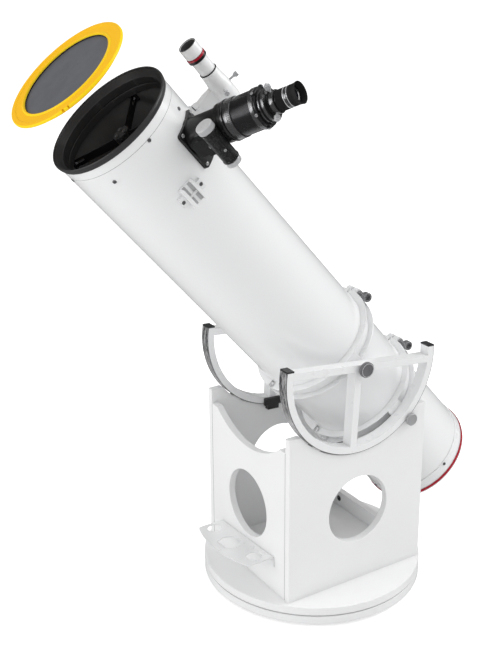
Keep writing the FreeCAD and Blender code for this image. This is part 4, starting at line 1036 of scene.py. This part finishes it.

# Dark rubber ring low on the rim's inner wall, painting the shadow in the gap between the
# film and the wall (painted shade): radius, depth behind the front face.
GAP_SHADE_RING = ((91.0, 5.2), (91.9, 5.2), (91.9, 3.2), (91.5, 3.2), (91.0, 4.4))
gap_shade_ring = [(r, FILTER_FRONT - depth) for r, depth in GAP_SHADE_RING]
piece("filter_gap_shade_ring", [turned(gap_shade_ring, 0.1, 256)], "filter", rubber, TUBE)

FILM_RADIUS = 92.0
FILM_Z = FILTER_FRONT - 5.4
FILM_THICKNESS = 0.3
FILM_SEGMENTS = 96
WRINKLES = 6
WRINKLE_HEIGHT = 0.06
film_radii = np.concatenate([np.linspace(0.0, FILM_RADIUS, 24), [92.6]])
phases = np.random.default_rng(7).uniform(0, 6.28, (WRINKLES,))


def wrinkle(angle, r):
    """Height of the slack film, fading to nothing at its edge."""
    height = 0.0
    for i in range(WRINKLES):
        wave = math.sin((i + 2) * angle + phases[i] + r * 0.05 * (i % 3))
        height = height + wave * WRINKLE_HEIGHT
    return height * max(0.0, 1 - (r / FILM_RADIUS) ** 4)


film_vertices, film_faces = [(0, 0, FILM_Z)], []
for r in film_radii[1:]:
    for s in range(FILM_SEGMENTS):
        angle = 2 * math.pi * s / FILM_SEGMENTS
        film_vertices.append((r * math.cos(angle), r * math.sin(angle),
                              FILM_Z + wrinkle(angle, r)))
for s in range(FILM_SEGMENTS):
    film_faces.append((0, 1 + s, 1 + (s + 1) % FILM_SEGMENTS))
for i in range(len(film_radii) - 2):
    a, b = 1 + i * FILM_SEGMENTS, 1 + (i + 1) * FILM_SEGMENTS
    for s in range(FILM_SEGMENTS):
        t = (s + 1) % FILM_SEGMENTS
        film_faces.append((a + s, b + s, b + t, a + t))
front_side = np.array(film_vertices)
back_start = len(front_side)
back_side = front_side - np.array([0, 0, FILM_THICKNESS])
back_faces = [tuple(i + back_start for i in reversed(face)) for face in film_faces]
edge = 1 + (len(film_radii) - 2) * FILM_SEGMENTS
edge_faces = []
for s in range(FILM_SEGMENTS):
    t = (s + 1) % FILM_SEGMENTS
    edge_faces.append((edge + s, edge + back_start + s, edge + back_start + t, edge + t))
sheet_faces = film_faces + back_faces + edge_faces
piece("filter_sheet", [(np.concatenate([front_side, back_side]), sheet_faces,
                        [0] * len(sheet_faces))],
      "filter", solar_film, TUBE, "filter_film")

# ------------------------------------------------------------------ camera
scene = bpy.context.scene
CAMERA_PLACE = (1.7494, -1.2614, 1.3721)
AZIMUTH, HEIGHT_ANGLE, ROLL = rad(58.2871), rad(18.8469), rad(-0.5164)
back = Vector((math.sin(AZIMUTH) * math.cos(HEIGHT_ANGLE),
               -math.cos(AZIMUTH) * math.cos(HEIGHT_ANGLE), math.sin(HEIGHT_ANGLE)))
right = Vector((math.cos(AZIMUTH), math.sin(AZIMUTH), 0.0))
up = back.cross(right)
rolled_right = right * math.cos(ROLL) + up * math.sin(ROLL)
rolled_up = -right * math.sin(ROLL) + up * math.cos(ROLL)
camera = bpy.data.cameras.new("camera")
camera.lens = 59.824
camera.sensor_width = 36.0
camera.sensor_fit = "AUTO"
camera.shift_x = 0.01428
camera.shift_y = -0.04964
camera.clip_end = 50.0
camera_ob = bpy.data.objects.new("camera", camera)
scene.collection.objects.link(camera_ob)
pose = Matrix((rolled_right, rolled_up, back)).transposed().to_4x4()
pose.translation = CAMERA_PLACE
camera_ob.matrix_world = pose
scene.camera = camera_ob


# ------------------------------------------------------------------ floor
def make_floor_material():
    """Pale floor that glows to the camera and is darker in reflections."""
    k = Shader("pale_floor")
    k.set(Roughness=0.9, Specular_IOR_Level=0.1, Emission_Color=(1, 1, 1, 1))
    path = k.node("ShaderNodeLightPath")
    mottle = k.ramp(k.noise(3.0, detail=4.0, rough=0.5), span=(0.3, 0.7))
    pale = k.mix(mottle, (0.86, 0.86, 0.86), (0.89, 0.89, 0.89))
    k.feed("Base Color", k.mix(path.outputs["Is Glossy Ray"], pale, (0.16, 0.16, 0.16)))
    k.feed("Emission Strength",
           k.ramp(path.outputs["Is Camera Ray"], span=(0.0, 1.0), to=(0.04, 0.55)))
    return k.material


FLOOR_HALF = 30
floor_mesh = bpy.data.meshes.new("floor")
floor_mesh.from_pydata([(x * FLOOR_HALF, y * FLOOR_HALF, 0)
                        for x, y in ((-1, -1), (1, -1), (1, 1), (-1, 1))], [], [(0, 1, 2, 3)])
floor_mesh.materials.append(make_floor_material())
floor = bpy.data.objects.new("floor", floor_mesh)
scene.collection.objects.link(floor)
floor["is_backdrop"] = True

# ------------------------------------------------------------------ world
SKY_CAMERA = 1.06             # strength seen by the camera
SKY_AMBIENT = 0.775           # strength that lights the scene
SKY_GLOSSY = 0.14             # strength in reflections
SKY_SIDE = -0.15              # change in strength towards +X, except to the camera
world = bpy.data.worlds.new("studio")
scene.world = world
world.use_nodes = True
world_tree = world.node_tree
background = world_tree.nodes["Background"]
background.inputs[0].default_value = (1.0, 1.0, 1.0, 1.0)
light_path = world_tree.nodes.new("ShaderNodeLightPath")
camera_ray = light_path.outputs["Is Camera Ray"]


def world_math(operation, *values):
    """Math node in the world; each value is a number or a socket."""
    node = world_tree.nodes.new("ShaderNodeMath")
    node.operation = operation
    for i, value in enumerate(values):
        if isinstance(value, (int, float)):
            node.inputs[i].default_value = value
        else:
            world_tree.links.new(value, node.inputs[i])
    return node.outputs[0]


strength = world_math("MULTIPLY_ADD", camera_ray, SKY_CAMERA - SKY_AMBIENT, SKY_AMBIENT)
strength = world_math("MULTIPLY_ADD", light_path.outputs["Is Glossy Ray"],
                      SKY_GLOSSY - SKY_AMBIENT, strength)
split = world_tree.nodes.new("ShaderNodeSeparateXYZ")
sky_coords = world_tree.nodes.new("ShaderNodeTexCoord")
world_tree.links.new(sky_coords.outputs["Generated"], split.inputs[0])
side = world_math("MULTIPLY", world_math("MULTIPLY", split.outputs["X"], SKY_SIDE),
                  world_math("SUBTRACT", 1.0, camera_ray))
strength = world_math("MULTIPLY", strength, world_math("ADD", 1.0, side))
world_tree.links.new(strength, background.inputs[1])


# ------------------------------------------------------------------ lights
def area(name, place, target, size, power):
    light = bpy.data.lights.new(name, "AREA")
    light.shape = "RECTANGLE"
    light.size, light.size_y = size
    light.energy = power
    light_ob = bpy.data.objects.new(name, light)
    scene.collection.objects.link(light_ob)
    light_ob.location = place
    aim = Vector(target) - Vector(place)
    light_ob.rotation_euler = aim.to_track_quat("-Z", "Y").to_euler()


area("front", place=(-0.75, -3.5, 1.55), target=(0.1, -0.3, 0.8), size=(1.7, 1.9), power=24.0)
area("strip", place=(0.15, -3.1, 1.05), target=(0.2, -0.3, 1.05), size=(0.30, 1.3), power=8.0)
area("back", place=(1.3, 2.6, 3.0), target=(0, 0, 0.7), size=(2.4, 2.0), power=62.0)
area("top", place=(0.4, -0.4, 4.0), target=(0, 0, 0.5), size=(2.5, 2.5), power=13.0)
scene.view_settings.view_transform = "Standard"

{"cad": CAD_BOX, "visual": plain(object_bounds())}
